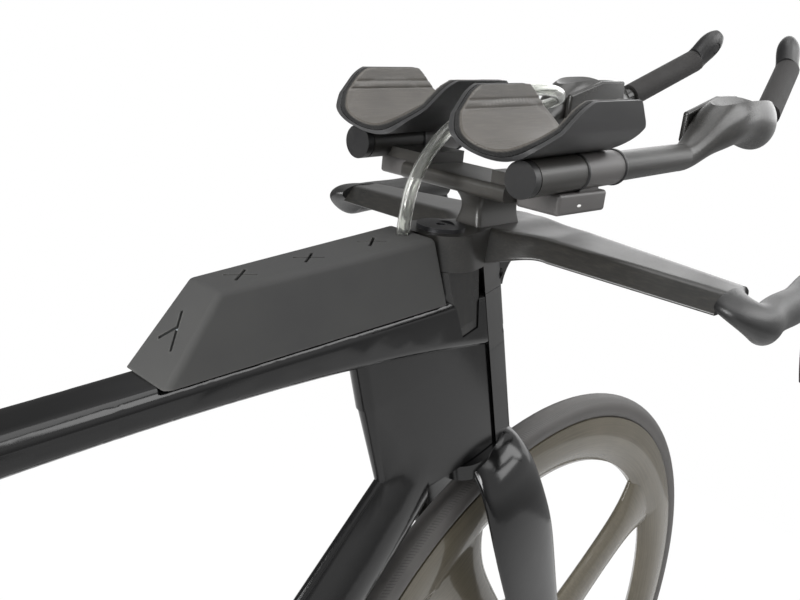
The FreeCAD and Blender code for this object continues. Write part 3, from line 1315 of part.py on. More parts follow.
def disc_wheel():
    wall = DISC_SKIN
    edge = RIM_HALF - 1.0
    mouth = RIM_RADIUS - 16.0
    lens = [(HUB_RADIUS, -DISC_HUB_HALF), (mouth, -edge), (RIM_RADIUS, -edge), (RIM_RADIUS, edge),
            (mouth, edge), (HUB_RADIUS, DISC_HUB_HALF), (HUB_RADIUS, DISC_HUB_HALF - wall),
            (mouth - 4.0, edge - wall), (mouth - 4.0, wall - edge), (HUB_RADIUS, wall - DISC_HUB_HALF)]
    return revolve(lens, rear_axle)


save("rear_tyre", tyre(rear_axle))
save("rear_wheel", disc_wheel())
save("rear_hub", *hub(rear_axle, REAR_HUB_WIDTH, rotor_seat, FREEHUB_RADIUS))
save("rear_rotor", rotor(rear_axle, REAR_ROTOR_RADIUS, rear_rotor_y))
save("rear_axle", across(rear_axle, AXLE_RADIUS, -REAR_HUB_WIDTH / 2 - DROPOUT_WIDTH,
                         REAR_HUB_WIDTH / 2 + DROPOUT_WIDTH).fuse(
    across(rear_axle, AXLE_HEAD, REAR_HUB_WIDTH / 2 + DROPOUT_WIDTH, REAR_HUB_WIDTH / 2 + DROPOUT_WIDTH + 3.0)))
rear_corner = rear_axle + V(36.0, 0, 2.0)
rear_caliper = caliper(rear_axle, REAR_ROTOR_RADIUS, rear_rotor_y, rear_corner, V(42.0, 22.0, 36.0))
rear_caliper[0] = rear_caliper[0].cut(make_rear_triangle(frame))
save("rear_caliper", *rear_caliper)


# Crank, pedals, cassette, chain and derailleur

def crank_arm(side, direction):
    low, high = sorted((CRANK_INNER * side, (CRANK_INNER + CRANK_THICKNESS) * side))
    tip = bb + AXIS_X * (CRANK_LENGTH * direction)
    body = skin([(V(point.x, 0, point.z) + AXIS_Y * ((low + high) / 2), AXIS_Z, AXIS_Y, a, CRANK_THICKNESS / 2)
                 for point, a in ((bb - AXIS_X * 22.0 * direction, 16.0), (bb, 22.0),
                                  (bb + (tip - bb) * 0.5, 15.0), (tip, 14.5), (tip + AXIS_X * 13.0 * direction, 8.0))])
    body = body.fuse([across(bb, 22.0, low, high), across(tip, 14.0, low, high)])
    return body.cut(across(tip, PEDAL_THREAD_RADIUS + RUNNING_GAP, low - 1.0, high + 1.0)), tip


right_arm, right_tip = crank_arm(-1, 1)
left_arm, left_tip = crank_arm(1, -1)
spindle = across(bb, SPINDLE_RADIUS, -CRANK_INNER - 1.0, CRANK_INNER + CRANK_THICKNESS)
save("crank_right", right_arm.fuse(spindle))
save("crank_left", left_arm.cut(across(bb, SPINDLE_RADIUS + RUNNING_GAP / 5, -FAR, FAR)))


def chainring():
    ring = toothed_disc(bb, CHAINRING_TEETH, -CHAIN_LINE - 1.5, -CHAIN_LINE + 1.5)
    ring = ring.cut(across(bb, 42.0, -CHAIN_LINE - 2.0, -CHAIN_LINE + 2.0))
    dish = across(bb, 50.0, -CRANK_INNER, -CHAIN_LINE - 1.5)
    body = ring.fuse(dish)
    return body.cut(across(bb, SPINDLE_RADIUS + RUNNING_GAP / 5, -FAR, FAR))


save("chainring", chainring())


def pedal_axle(tip, side):
    thread = across(tip, PEDAL_THREAD_RADIUS, *sorted((CRANK_INNER * side, (CRANK_INNER + CRANK_THICKNESS + 4.0) * side)))
    stub = across(tip, PEDAL_AXLE_RADIUS, *sorted((CRANK_INNER * side, (CRANK_INNER + CRANK_THICKNESS + PEDAL_WIDTH) * side)))
    return thread.fuse(stub)


def pedal(tip, side):
    start = CRANK_INNER + CRANK_THICKNESS + 4.0 + SEAT_GAP
    low, high = sorted((start * side, (start + PEDAL_WIDTH) * side))
    body = across(tip, PEDAL_HEIGHT / 2 + 2.0, low, high)
    plan = [(-0.45, 0.25), (-0.3, 0.5), (0.25, 0.5), (0.55, 0.2), (0.55, -0.2), (0.25, -0.5), (-0.3, -0.5), (-0.45, -0.25)]
    middle = (low + high) / 2
    plate = prism([V(tip.x + PEDAL_LENGTH * a, middle + PEDAL_WIDTH * b, tip.z - PEDAL_HEIGHT / 2) for a, b in plan],
                  AXIS_Z * PEDAL_HEIGHT)
    return body.fuse(plate).cut(across(tip, PEDAL_AXLE_RADIUS + RUNNING_GAP, -FAR, FAR))


save("pedal_axles", pedal_axle(right_tip, -1), pedal_axle(left_tip, 1))
save("pedal_right", pedal(right_tip, -1))
save("pedal_left", pedal(left_tip, 1))


def cassette():
    discs = []
    for i, teeth in enumerate(SPROCKETS):
        y = -CHAIN_LINE + (i - DRIVE_SPROCKET) * SPROCKET_STEP
        discs.append(toothed_disc(rear_axle, teeth, y - SPROCKET_THICKNESS / 2, y + SPROCKET_THICKNESS / 2))
    first = -CHAIN_LINE - DRIVE_SPROCKET * SPROCKET_STEP - SPROCKET_THICKNESS / 2
    last = -CHAIN_LINE + (len(SPROCKETS) - 1 - DRIVE_SPROCKET) * SPROCKET_STEP + SPROCKET_THICKNESS / 2
    body = across(rear_axle, FREEHUB_RADIUS + 3.5, first, last).fuse(discs)
    return body.cut(across(rear_axle, FREEHUB_RADIUS + RUNNING_GAP, -FAR, FAR))


save("cassette", cassette())

upper_pulley = rear_axle + V(16.0, 0, -78.0)
lower_pulley = rear_axle + V(30.0, 0, -142.0)
pulley_pitch = pitch_radius(PULLEY_TEETH)


def chain_loop():
    """The middle line of the chain round chainring, sprocket and both pulleys."""
    turns = [(bb, pitch_radius(CHAINRING_TEETH)), (rear_axle, pitch_radius(SPROCKETS[DRIVE_SPROCKET])),
             (upper_pulley, -pulley_pitch), (lower_pulley, pulley_pitch)]
    count = len(turns)
    leaves, arrives = [None] * count, [None] * count
    for i in range(count):
        centre, radius = turns[i]
        other, other_radius = turns[(i + 1) % count]
        gap = other - centre
        angle = math.atan2(gap.z, gap.x) + math.asin((radius - other_radius) / gap.Length)
        normal = V(math.sin(angle), 0, -math.cos(angle))
        leaves[i] = centre + normal * radius
        arrives[(i + 1) % count] = other + normal * other_radius
    edges = []
    for i in range(count):
        centre, radius = turns[i]
        start = math.atan2(arrives[i].z - centre.z, arrives[i].x - centre.x)
        end = math.atan2(leaves[i].z - centre.z, leaves[i].x - centre.x)
        sweep = (end - start) % (2 * math.pi) if radius > 0 else -((start - end) % (2 * math.pi))
        mid = start + sweep / 2
        middle = V(centre.x + abs(radius) * math.cos(mid), 0, centre.z + abs(radius) * math.sin(mid))
        edges.append(arc(arrives[i], middle, leaves[i]))
        edges.append(line(leaves[i], arrives[(i + 1) % count]))
    return Part.Wire(edges)


def make_chain():
    loop = chain_loop()
    outer = loop.makeOffset2D(CHAIN_HALF_HEIGHT)
    inner = loop.makeOffset2D(-CHAIN_HALF_HEIGHT)
    band = Part.Face(outer).cut(Part.Face(inner)).extrude(AXIS_Y * (2 * CHAIN_HALF_WIDTH))
    band.translate(AXIS_Y * (-CHAIN_LINE - CHAIN_HALF_WIDTH))
    print("chain length", round(loop.Length))
    return band


save("chain", *make_chain().Solids)

CAGE_GAP = 5.4
CAGE_PLATE = 1.8
PULLEY_BOLT = 2.5


def cage():
    plates = []
    for side in SIDES:
        low, high = sorted((side * CAGE_GAP, side * (CAGE_GAP + CAGE_PLATE)))
        low, high = low - CHAIN_LINE, high - CHAIN_LINE
        side_way = (lower_pulley - upper_pulley).normalize().cross(AXIS_Y) * 9.0
        points = [upper_pulley + side_way, lower_pulley + side_way, lower_pulley - side_way, upper_pulley - side_way]
        plate = prism([V(p.x, low, p.z) for p in points], AXIS_Y * (high - low))
        plates.append(plate.fuse([across(upper_pulley, 9.5, low, high), across(lower_pulley, 9.5, low, high)]))
    reach = CAGE_GAP + CAGE_PLATE
    bolts = [across(p, PULLEY_BOLT, -CHAIN_LINE - reach, -CHAIN_LINE + reach) for p in (upper_pulley, lower_pulley)]
    return plates[0].fuse([plates[1]] + bolts)


def pulley(centre):
    disc = toothed_disc(centre, PULLEY_TEETH, -CHAIN_LINE - 1.2, -CHAIN_LINE + 1.2)
    hub_part = across(centre, 8.0, -CHAIN_LINE - CAGE_GAP + SEAT_GAP, -CHAIN_LINE + CAGE_GAP - SEAT_GAP)
    return disc.fuse(hub_part).cut(across(centre, PULLEY_BOLT + RUNNING_GAP, -FAR, FAR))


def derailleur_body():
    outside = -CHAIN_LINE - CAGE_GAP - CAGE_PLATE
    hanger = hanger_point()
    face = -REAR_HUB_WIDTH / 2 - DROPOUT_WIDTH
    knuckle = across(hanger, 9.0, face - 16.0, face)
    bolt = across(hanger, 5.0 - RUNNING_GAP, face, -REAR_HUB_WIDTH / 2)
    knee = upper_pulley + V(10.0, 0, 4.0)
    lower = across(knee, 11.0, face - 14.0, outside)
    link = prism([V(hanger.x - 7.0, face - 14.0, hanger.z), V(hanger.x + 9.0, face - 14.0, hanger.z + 3.0),
                  V(knee.x + 10.0, face - 14.0, knee.z), V(knee.x - 9.0, face - 14.0, knee.z - 2.0)], AXIS_Y * 12.0)
    return knuckle.fuse([bolt, lower, link])


save("derailleur_cage", cage())
save("derailleur_body", derailleur_body())
save("pulley_upper", pulley(upper_pulley))
save("pulley_lower", pulley(lower_pulley))


# Seat post and saddle

post_head = seat_point(0, 0, POST_TOP)
rail_height = post_head.z + 16.0
saddle_floor = rail_height + 16.0
CLAMP_LENGTH = 42.0


def make_post():
    body = loft([post_section(POCKET_TOP - POST_INSERT, 0), post_section(POST_TOP, 0)])
    yoke = across(V(post_head.x, 0, rail_height), 11.0, -RAIL_SPACING / 2 + 8.0, RAIL_SPACING / 2 - 8.0)
    neck = block(V(post_head.x - 11.0, -POST_HALF, post_head.z - 14.0), V(post_head.x + 10.0, POST_HALF, rail_height))
    body = body.fuse([neck, yoke])
    return body.cut(across(V(post_head.x, 0, rail_height), 4.0 + RUNNING_GAP, -FAR, FAR))


def rail(side):
    y = RAIL_SPACING / 2 * side
    mid = post_head.x
    stops = [V(mid - RAIL_LENGTH * 0.75, y * 1.3, saddle_floor - 1.0), V(mid - RAIL_LENGTH * 0.45, y, rail_height),
             V(mid + RAIL_LENGTH * 0.45, y, rail_height), V(mid + RAIL_LENGTH * 0.85, y * 0.6, saddle_floor - 1.0)]
    body = Part.makeSphere(RAIL_RADIUS, stops[1]).fuse(Part.makeSphere(RAIL_RADIUS, stops[2]))
    for start, end in zip(stops, stops[1:]):
        body = body.fuse(rod(start, end, RAIL_RADIUS))
    return body.cut(block(V(mid - FAR, -FAR, saddle_floor), V(mid + FAR, FAR, saddle_floor + FAR)))


def rail_clamps():
    pieces = []
    for side in SIDES:
        y = RAIL_SPACING / 2 * side
        low = V(post_head.x - CLAMP_LENGTH / 2, y - 7.5, rail_height - 9.0)
        ear = block(low, low + V(CLAMP_LENGTH, 15.0, 18.0))
        ear = ear.makeFillet(5.0, [edge for edge in ear.Edges if edge.BoundBox.YLength > 10.0])
        ear = ear.cut(rod(V(post_head.x - 60.0, y, rail_height), V(post_head.x + 60.0, y, rail_height),
                          RAIL_RADIUS + RUNNING_GAP))
        pieces.append(ear)
    return pieces


def saddle_wire(x, half, low, high):
    left, right = V(x, half, low), V(x, -half, low)
    return Part.Wire([line(left, right), arc(right, V(x, 0, high), left)])


def saddle_channel():
    nose = post_head.x + SADDLE_LENGTH * 0.6
    return block(V(post_head.x - SADDLE_LENGTH * 0.12, -SADDLE_CHANNEL / 2, saddle_floor - 1.0),
                 V(nose + 20.0, SADDLE_CHANNEL / 2, saddle_floor + 90.0))


SADDLE_STATIONS = [(0.6, 0.33, 0.62), (0.5, 0.40, 0.85), (0.15, 0.48, 0.94), (-0.12, 0.72, 1.0),
                   (-0.3, 1.0, 1.0), (-0.4, 0.92, 0.75)]


def saddle_body(low, rise):
    return loft([saddle_wire(post_head.x + SADDLE_LENGTH * share, SADDLE_HALF * half, low, low + rise * height)
                 for share, half, height in SADDLE_STATIONS])


def make_saddle():
    base = saddle_body(saddle_floor, SADDLE_SHELL + SADDLE_PAD_HEIGHT)
    level = saddle_floor + SADDLE_SHELL
    upper = block(V(post_head.x - FAR, -FAR, level), V(post_head.x + FAR, FAR, level + FAR))
    pad_part = base.common(upper).cut(saddle_channel())
    shell_part = base.cut(upper)
    behind = block(V(post_head.x - FAR, -FAR, 0), V(post_head.x + SADDLE_LENGTH * 0.42, FAR, FAR * 4))
    shell_part = shell_part.cut(saddle_channel().common(behind))
    return shell_part, pad_part


save("seatpost", make_post())
save("saddle_rails", rail(-1), rail(1))
save("saddle_clamp", *(rail_clamps() + [across(V(post_head.x, 0, rail_height), 4.0, -RAIL_SPACING / 2 + 7.5 + 0.0,
                                                RAIL_SPACING / 2 - 7.5)]))
saddle_shell, saddle_pad = make_saddle()
save("saddle_shell", saddle_shell)
save("saddle_pad", saddle_pad)


# Bolts of the cockpit

save("cockpit_bolts", *[socket_bolt(seat_at, way, COLUMN_BOLT_RADIUS, 5.0) for seat_at, way in column_bolts()])
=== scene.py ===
"""A time trial bike: its looks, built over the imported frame."""
import json
import math

import bmesh
import bpy
from mathutils import Matrix, Vector, kdtree


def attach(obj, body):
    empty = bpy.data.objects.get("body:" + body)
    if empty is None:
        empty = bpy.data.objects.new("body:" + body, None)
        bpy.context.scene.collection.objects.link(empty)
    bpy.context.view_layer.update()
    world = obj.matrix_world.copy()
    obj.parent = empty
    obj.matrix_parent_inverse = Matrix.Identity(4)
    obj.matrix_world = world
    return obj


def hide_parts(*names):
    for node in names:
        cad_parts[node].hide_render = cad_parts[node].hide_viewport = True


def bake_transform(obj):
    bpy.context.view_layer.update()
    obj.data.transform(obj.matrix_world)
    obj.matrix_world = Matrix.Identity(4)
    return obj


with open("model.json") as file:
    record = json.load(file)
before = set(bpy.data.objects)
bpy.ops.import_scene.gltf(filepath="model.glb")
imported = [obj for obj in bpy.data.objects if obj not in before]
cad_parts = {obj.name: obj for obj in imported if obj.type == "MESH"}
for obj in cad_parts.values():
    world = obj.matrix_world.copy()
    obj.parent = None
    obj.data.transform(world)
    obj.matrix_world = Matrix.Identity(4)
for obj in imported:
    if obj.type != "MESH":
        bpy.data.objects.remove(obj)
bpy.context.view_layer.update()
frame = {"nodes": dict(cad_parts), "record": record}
nodes = frame["nodes"]
scene = bpy.context.scene
MM = 0.001
REAR_AXLE = Vector((-0.5, 0.0, 0.336))
BOTTOM_BRACKET = Vector((-0.09129, 0.0, 0.264))
BAR_POINT = Vector((0.286773, 0.0, 0.870956))


def cockpit(forward, side, up):
    """A point in metres from one in millimetres about the middle of the base bar."""
    return BAR_POINT + Vector((forward, side, up)) * MM


# Camera at the photograph's place

CAMERA_PLACE = (-0.1730, -0.3906, 1.0072)
CAMERA_AHEAD = Vector((0.69988, 0.64467, -0.30752))
CAMERA_RIGHT = Vector((0.69716, -0.71020, 0.09781))
CAMERA_UP = Vector((0.15535, 0.28285, 0.94650))
CAMERA_LENS = 37.74
SENSOR_WIDTH = 36.0


def set_camera():
    data = bpy.data.cameras.new("photo_camera")
    data.sensor_fit = "HORIZONTAL"
    data.sensor_width = SENSOR_WIDTH
    data.lens = CAMERA_LENS
    data.clip_start = 0.02
    camera = bpy.data.objects.new("photo_camera", data)
    turn = Matrix((CAMERA_RIGHT, CAMERA_UP, -CAMERA_AHEAD)).transposed().to_4x4()
    camera.matrix_world = Matrix.Translation(CAMERA_PLACE) @ turn
    scene.collection.objects.link(camera)
    scene.camera = camera


set_camera()


# Node helpers

def put(tree, kind, inputs=None, **settings):
    """A new node; an input is a value or another node's socket."""
    node = tree.nodes.new("ShaderNode" + kind)
    for key, value in settings.items():
        setattr(node, key, value)
    for key, value in (inputs or {}).items():
        if isinstance(value, bpy.types.NodeSocket):
            tree.links.new(value, node.inputs[key])
        else:
            node.inputs[key].default_value = value
    return node


def sum_of(tree, operation, first, second=0.0, third=0.0):
    return put(tree, "Math", {0: first, 1: second, 2: third}, operation=operation).outputs[0]


def mix_colour(tree, share, first, second):
    node = put(tree, "Mix", {0: share, 6: first, 7: second}, data_type="RGBA")
    return node.outputs[2]


def between(tree, value, low, high, to_low=0.0, to_high=1.0):
    node = put(tree, "MapRange", {"Value": value, "From Min": low, "From Max": high,
                                  "To Min": to_low, "To Max": to_high})
    return node.outputs[0]


def open_group(name, inputs, outputs):
    """A node group with named sockets: inputs are (name, kind, value), outputs are names of values."""
    tree = bpy.data.node_groups.new(name, "ShaderNodeTree")
    for label, kind, value in inputs:
        socket = tree.interface.new_socket(label, in_out="INPUT", socket_type="NodeSocket" + kind)
        socket.default_value = value
    for label in outputs:
        tree.interface.new_socket(label, in_out="OUTPUT", socket_type="NodeSocketFloat")
    return tree, tree.nodes.new("NodeGroupInput"), tree.nodes.new("NodeGroupOutput")


def use_group(tree, name, inputs=None):
    node = put(tree, "Group", node_tree=bpy.data.node_groups[name])
    for key, value in (inputs or {}).items():
        node.inputs[key].default_value = value
    return node


def shade(red, green, blue):
    """A screen colour, 0 to 255, as the linear colour that the shader takes."""
    parts = []
    for value in (red, green, blue):
        part = value / 255.0
        parts.append(part / 12.92 if part <= 0.04045 else ((part + 0.055) / 1.055) ** 2.4)
    return (*parts, 1.0)


# Effects that several finishes share

def make_moulded_grain():
    """Fine skin texture, and a broad slow drift of tone."""
    tree, ins, outs = open_group("moulded_grain", [("Scale", "Float", 800.0), ("Drift Scale", "Float", 18.0)],
                                 ["Height", "Drift"])
    place = put(tree, "TexCoord").outputs["Object"]
    fine = put(tree, "TexNoise", {"Vector": place, "Scale": ins.outputs["Scale"], "Detail": 2.0,
                                  "Roughness": 0.65})
    broad = put(tree, "TexNoise", {"Vector": place, "Scale": ins.outputs["Drift Scale"], "Detail": 4.0,
                                   "Roughness": 0.6})
    tree.links.new(fine.outputs[0], outs.inputs["Height"])
    tree.links.new(broad.outputs[0], outs.inputs["Drift"])


def make_fibre_streaks():
    """Long thin streaks, as of laid carbon fibres or brushed metal."""
    tree, ins, outs = open_group("fibre_streaks", [("Stretch", "Vector", (1.0, 1.0, 1.0)),
                                                   ("Scale", "Float", 60.0)], ["Streak"])
    place = put(tree, "TexCoord").outputs["Object"]
    drawn = put(tree, "VectorMath", {0: place, 1: ins.outputs["Stretch"]}, operation="MULTIPLY")
    lines = put(tree, "TexNoise", {"Vector": drawn.outputs[0], "Scale": ins.outputs["Scale"], "Detail": 3.0,
                                   "Roughness": 0.7})
    tree.links.new(lines.outputs[0], outs.inputs["Streak"])


def make_wheel_place():
    """Turn, radius and width about the nearer of the two axles."""
    tree, ins, outs = open_group("wheel_place", [("Axle Reach", "Float", 0.5),
                                                 ("Axle Height", "Float", 0.336)],
                                 ["Turn", "Radius", "Across"])
    place = put(tree, "SeparateXYZ", {0: put(tree, "TexCoord").outputs["Object"]})
    along = sum_of(tree, "SUBTRACT", sum_of(tree, "ABSOLUTE", place.outputs[0]), ins.outputs["Axle Reach"])
    rise = sum_of(tree, "SUBTRACT", place.outputs[2], ins.outputs["Axle Height"])
    turn = sum_of(tree, "MULTIPLY", sum_of(tree, "ARCTAN2", rise, along), 1.0 / (2.0 * math.pi))
    far = sum_of(tree, "MULTIPLY_ADD", along, along, sum_of(tree, "MULTIPLY", rise, rise))
    tree.links.new(turn, outs.inputs["Turn"])
    tree.links.new(sum_of(tree, "SQRT", far), outs.inputs["Radius"])
    tree.links.new(place.outputs[1], outs.inputs["Across"])


def make_worn_and_lit_edge():
    """A mask along the edges of a piece, broken up by noise; it marks a painted edge highlight with a little
    wear.
    """
    tree, ins, outs = open_group("worn_and_lit_edge", [("Radius", "Float", 0.0012), ("Scale", "Float", 120.0)],
                                 ["Mask"])
    round_off = put(tree, "Bevel", {"Radius": ins.outputs["Radius"]}, samples=4)
    true_way = put(tree, "NewGeometry").outputs["Normal"]
    meet = put(tree, "VectorMath", {0: round_off.outputs[0], 1: true_way},
               operation="DOT_PRODUCT").outputs["Value"]
    edge = between(tree, meet, 0.985, 0.80)
    place = put(tree, "TexCoord").outputs["Object"]
    broken = put(tree, "TexNoise", {"Vector": place, "Scale": ins.outputs["Scale"], "Detail": 3.0}).outputs[0]
    tree.links.new(sum_of(tree, "MULTIPLY", edge, between(tree, broken, 0.35, 0.65)), outs.inputs["Mask"])


make_moulded_grain()
make_fibre_streaks()
make_wheel_place()
make_worn_and_lit_edge()


# Finishes

DRIFT_RANGE = (0.3, 0.7)


def base_finish(name, dark, light, rough, grain, drift=18.0, metallic=0.0, level=0.5):
    """A finish whose colour and gloss drift a little over a fine grain of some scale, strength and depth."""
    material = bpy.data.materials.new(name)
    material.use_nodes = True
    tree = material.node_tree
    tree.nodes.clear()
    scale, strength, depth = grain
    skin = use_group(tree, "moulded_grain", {"Scale": scale, "Drift Scale": drift})
    colour = mix_colour(tree, between(tree, skin.outputs["Drift"], *DRIFT_RANGE), dark, light)
    gloss = between(tree, skin.outputs["Drift"], *DRIFT_RANGE, *rough)
    bump = put(tree, "Bump", {"Strength": strength, "Distance": depth, "Height": skin.outputs["Height"]})
    shader = put(tree, "BsdfPrincipled", {"Base Color": colour, "Roughness": gloss, "Metallic": metallic,
                                          "Specular IOR Level": level, "Normal": bump.outputs[0]},
                 name="shader")
    out = put(tree, "OutputMaterial")
    tree.links.new(shader.outputs[0], out.inputs["Surface"])
    return material


def shader_of(material):
    return material.node_tree.nodes["shader"]


def source_of(material, key):
    return shader_of(material).inputs[key].links[0].from_socket


def tint(material, mask, colour):
    """Lays another colour over the finish where the mask is."""
    tree = material.node_tree
    mixed = mix_colour(tree, mask, source_of(material, "Base Color"), colour)
    tree.links.new(mixed, shader_of(material).inputs["Base Color"])


def dull(material, mask, rough):
    """Changes the roughness where the mask is."""
    tree = material.node_tree
    node = put(tree, "Mix", {0: mask, 2: source_of(material, "Roughness"), 3: rough})
    tree.links.new(node.outputs[0], shader_of(material).inputs["Roughness"])


def emboss(material, height, strength, depth):
    """Adds a second relief over the fine grain."""
    tree = material.node_tree
    bump = put(tree, "Bump", {"Strength": strength, "Distance": depth, "Height": height,
                              "Normal": source_of(material, "Normal")})
    tree.links.new(bump.outputs[0], shader_of(material).inputs["Normal"])


def lighten_worn_and_lit_edges(material, radius, scale, share, colour):
    """Lightens the edges of a piece: a painted edge highlight, with a little wear."""
    tree = material.node_tree
    edge = use_group(tree, "worn_and_lit_edge", {"Radius": radius, "Scale": scale})
    tint(material, sum_of(tree, "MULTIPLY", edge.outputs["Mask"], share), colour)


def gloss_black():
    material = base_finish("frame_gloss_black", shade(8, 8, 9), shade(13, 13, 13), (0.13, 0.19),
                           (420.0, 0.03, 0.0004), drift=9.0, level=0.42)
    tree = material.node_tree
    flake = use_group(tree, "moulded_grain", {"Scale": 4200.0, "Drift Scale": 60.0})
    tint(material, between(tree, flake.outputs["Height"], 0.66, 0.8, 0.0, 0.5), shade(58, 58, 60))
    return material


def satin_carbon(name, dark, light, rough, stretch):
    material = base_finish(name, dark, light, rough, (2600.0, 0.12, 0.0002), drift=14.0)
    tree = material.node_tree
    fibre = use_group(tree, "fibre_streaks", {"Stretch": stretch, "Scale": 90.0})
    tint(material, between(tree, fibre.outputs["Streak"], 0.45, 0.75, 0.0, 0.35), shade(62, 59, 54))
    emboss(material, fibre.outputs["Streak"], 0.06, 0.0003)
    return material


def box_rubber():
    material = base_finish("box_soft_grey", shade(60, 60, 60), shade(68, 68, 67), (0.66, 0.78),
                           (1900.0, 0.25, 0.0003), drift=11.0, level=0.22)
    # Lighter edges: painted edge highlight with a little wear.
    lighten_worn_and_lit_edges(material, 0.0025, 90.0, 0.35, shade(104, 103, 100))
    return material


def cup_plastic():
    material = base_finish("arm_cup_charcoal", shade(40, 40, 41), shade(48, 48, 48), (0.34, 0.44),
                           (2400.0, 0.3, 0.0003), drift=16.0)
    # Lighter rim edges: painted edge highlight with a little wear.
    lighten_worn_and_lit_edges(material, 0.0012, 160.0, 0.3, shade(98, 98, 98))
    return material


def pad_foam():
    material = base_finish("arm_pad_foam", shade(60, 57, 53), shade(76, 72, 67), (0.36, 0.46),
                           (1500.0, 0.22, 0.0003), drift=22.0)
    tree = material.node_tree
    rim = put(tree, "Attribute", attribute_name="rim", attribute_type="GEOMETRY").outputs["Fac"]
    fuzz = use_group(tree, "moulded_grain", {"Scale": 900.0, "Drift Scale": 300.0})
    # Lighter streaks of a brushed look: a painted streaky sheen.
    brushed = use_group(tree, "fibre_streaks", {"Stretch": (1.0, 14.0, 14.0), "Scale": 45.0})
    tint(material, between(tree, brushed.outputs["Streak"], 0.45, 0.75, 0.0, 0.4), shade(98, 93, 86))
    tint(material, rim, shade(10, 10, 10))
    dull(material, rim, 0.95)
    emboss(material, sum_of(tree, "MULTIPLY", fuzz.outputs["Height"], rim), 0.9, 0.0012)
    shader_of(material).inputs["Sheen Weight"].default_value = 0.04
    return material


def hood_rubber():
    return base_finish("hood_rubber_black", shade(22, 22, 22), shade(29, 29, 29), (0.34, 0.44),
                       (1600.0, 0.35, 0.0004), drift=25.0)


def grip_tape():
    material = base_finish("grip_brown_black", shade(19, 17, 16), shade(26, 24, 23), (0.7, 0.85),
                           (700.0, 0.6, 0.0006), drift=40.0)
    shader_of(material).inputs["Sheen Weight"].default_value = 0.04
    return material


def clear_hose():
    material = base_finish("hose_clear", shade(206, 208, 203), shade(222, 223, 219), (0.03, 0.07),
                           (500.0, 0.05, 0.0003), drift=30.0)
    shader = shader_of(material)
    shader.inputs["Transmission Weight"].default_value = 0.95
    shader.inputs["IOR"].default_value = 1.42
    return material


def black_metal():
    material = base_finish("anodised_black", shade(38, 38, 40), shade(48, 48, 50), (0.3, 0.42),
                           (2800.0, 0.15, 0.0002), drift=30.0, metallic=0.6)
    # Lighter edges: painted edge highlight with a little wear.
    lighten_worn_and_lit_edges(material, 0.0006, 220.0, 0.4, shade(120, 120, 120))
    return material


def turned_steel():
    material = base_finish("turned_steel", shade(150, 149, 147), shade(176, 175, 172), (0.24, 0.38),
                           (900.0, 0.1, 0.0002), drift=35.0, metallic=1.0)
    tree = material.node_tree
    place = use_group(tree, "wheel_place")
    outward = sum_of(tree, "MULTIPLY", place.outputs["Radius"], 2200.0)
    rings = put(tree, "TexNoise", {"W": outward, "Detail": 2.0}, noise_dimensions="1D").outputs[0]
    tint(material, between(tree, rings, 0.4, 0.7, 0.0, 0.35), shade(104, 103, 101))
    emboss(material, rings, 0.08, 0.0002)
    return material


def chain_steel():
    material = base_finish("chain_steel", shade(96, 94, 90), shade(140, 138, 133), (0.28, 0.45),
                           (1200.0, 0.2, 0.0002), drift=120.0, metallic=1.0)
    tree = material.node_tree
    oil = use_group(tree, "moulded_grain", {"Scale": 400.0, "Drift Scale": 45.0})
    tint(material, between(tree, oil.outputs["Drift"], 0.5, 0.7, 0.0, 0.6), shade(40, 38, 35))
    return material


def brushed_alloy():
    material = base_finish("brushed_alloy", shade(168, 168, 168), shade(196, 196, 195), (0.3, 0.42),
                           (1200.0, 0.1, 0.0002), drift=40.0, metallic=1.0)
    tree = material.node_tree
    lines = use_group(tree, "fibre_streaks", {"Stretch": (2.0, 30.0, 30.0), "Scale": 100.0})
    emboss(material, lines.outputs["Streak"], 0.1, 0.0002)
    dull(material, between(tree, lines.outputs["Streak"], 0.4, 0.7, 0.0, 0.4), 0.55)
    return material


def moulded_plastic():
    return base_finish("moulded_plastic", shade(20, 20, 21), shade(27, 27, 27), (0.36, 0.46),
                       (2000.0, 0.35, 0.0003), drift=30.0)


def grey_plastic():
    return base_finish("control_grey_plastic", shade(74, 72, 71), shade(82, 80, 79), (0.34, 0.44),
                       (2000.0, 0.3, 0.0003), drift=30.0)


def rim_carbon():
    material = base_finish("rim_clear_carbon", shade(80, 76, 66), shade(92, 87, 76), (0.16, 0.26),
                           (1500.0, 0.05, 0.0002), drift=12.0, level=0.1)
    tree = material.node_tree
    place = use_group(tree, "wheel_place")
    spun = put(tree, "CombineXYZ", {0: sum_of(tree, "MULTIPLY", place.outputs["Turn"], 26.0),
                                    1: sum_of(tree, "MULTIPLY", place.outputs["Radius"], 700.0),
                                    2: sum_of(tree, "MULTIPLY", place.outputs["Across"], 300.0)})
    fibre = put(tree, "TexNoise", {"Vector": spun.outputs[0], "Scale": 1.0, "Detail": 4.0,
                                   "Roughness": 0.7}).outputs[0]
    tint(material, between(tree, fibre, 0.4, 0.75, 0.0, 0.5), shade(108, 101, 88))
    shader = shader_of(material)
    shader.inputs["Coat Weight"].default_value = 0.45
    shader.inputs["Coat Roughness"].default_value = 0.03
    return material


def tyre_rubber():
    material = base_finish("tyre_rubber", shade(68, 66, 65), shade(80, 78, 76), (0.5, 0.65),
                           (1400.0, 0.3, 0.0004), drift=30.0)
    tree = material.node_tree
    place = use_group(tree, "wheel_place")
    side = sum_of(tree, "ABSOLUTE", place.outputs["Across"])
    band = sum_of(tree, "MULTIPLY", between(tree, side, 0.0055, 0.0065), between(tree, side, 0.0105, 0.0095))
    slant = sum_of(tree, "MULTIPLY_ADD", place.outputs["Turn"], 720.0, sum_of(tree, "MULTIPLY", side, 300.0))
    cut = sum_of(tree, "LESS_THAN", sum_of(tree, "FLOORED_MODULO", slant, 1.0), 0.3)
    tread = sum_of(tree, "MULTIPLY", cut, band)
    # The tread cuts are pressed in and darkened: painted shade in the grooves.
    tint(material, sum_of(tree, "MULTIPLY", tread, 0.55), shade(26, 25, 25))
    emboss(material, sum_of(tree, "SUBTRACT", 1.0, tread), 0.6, 0.0006)
    return material


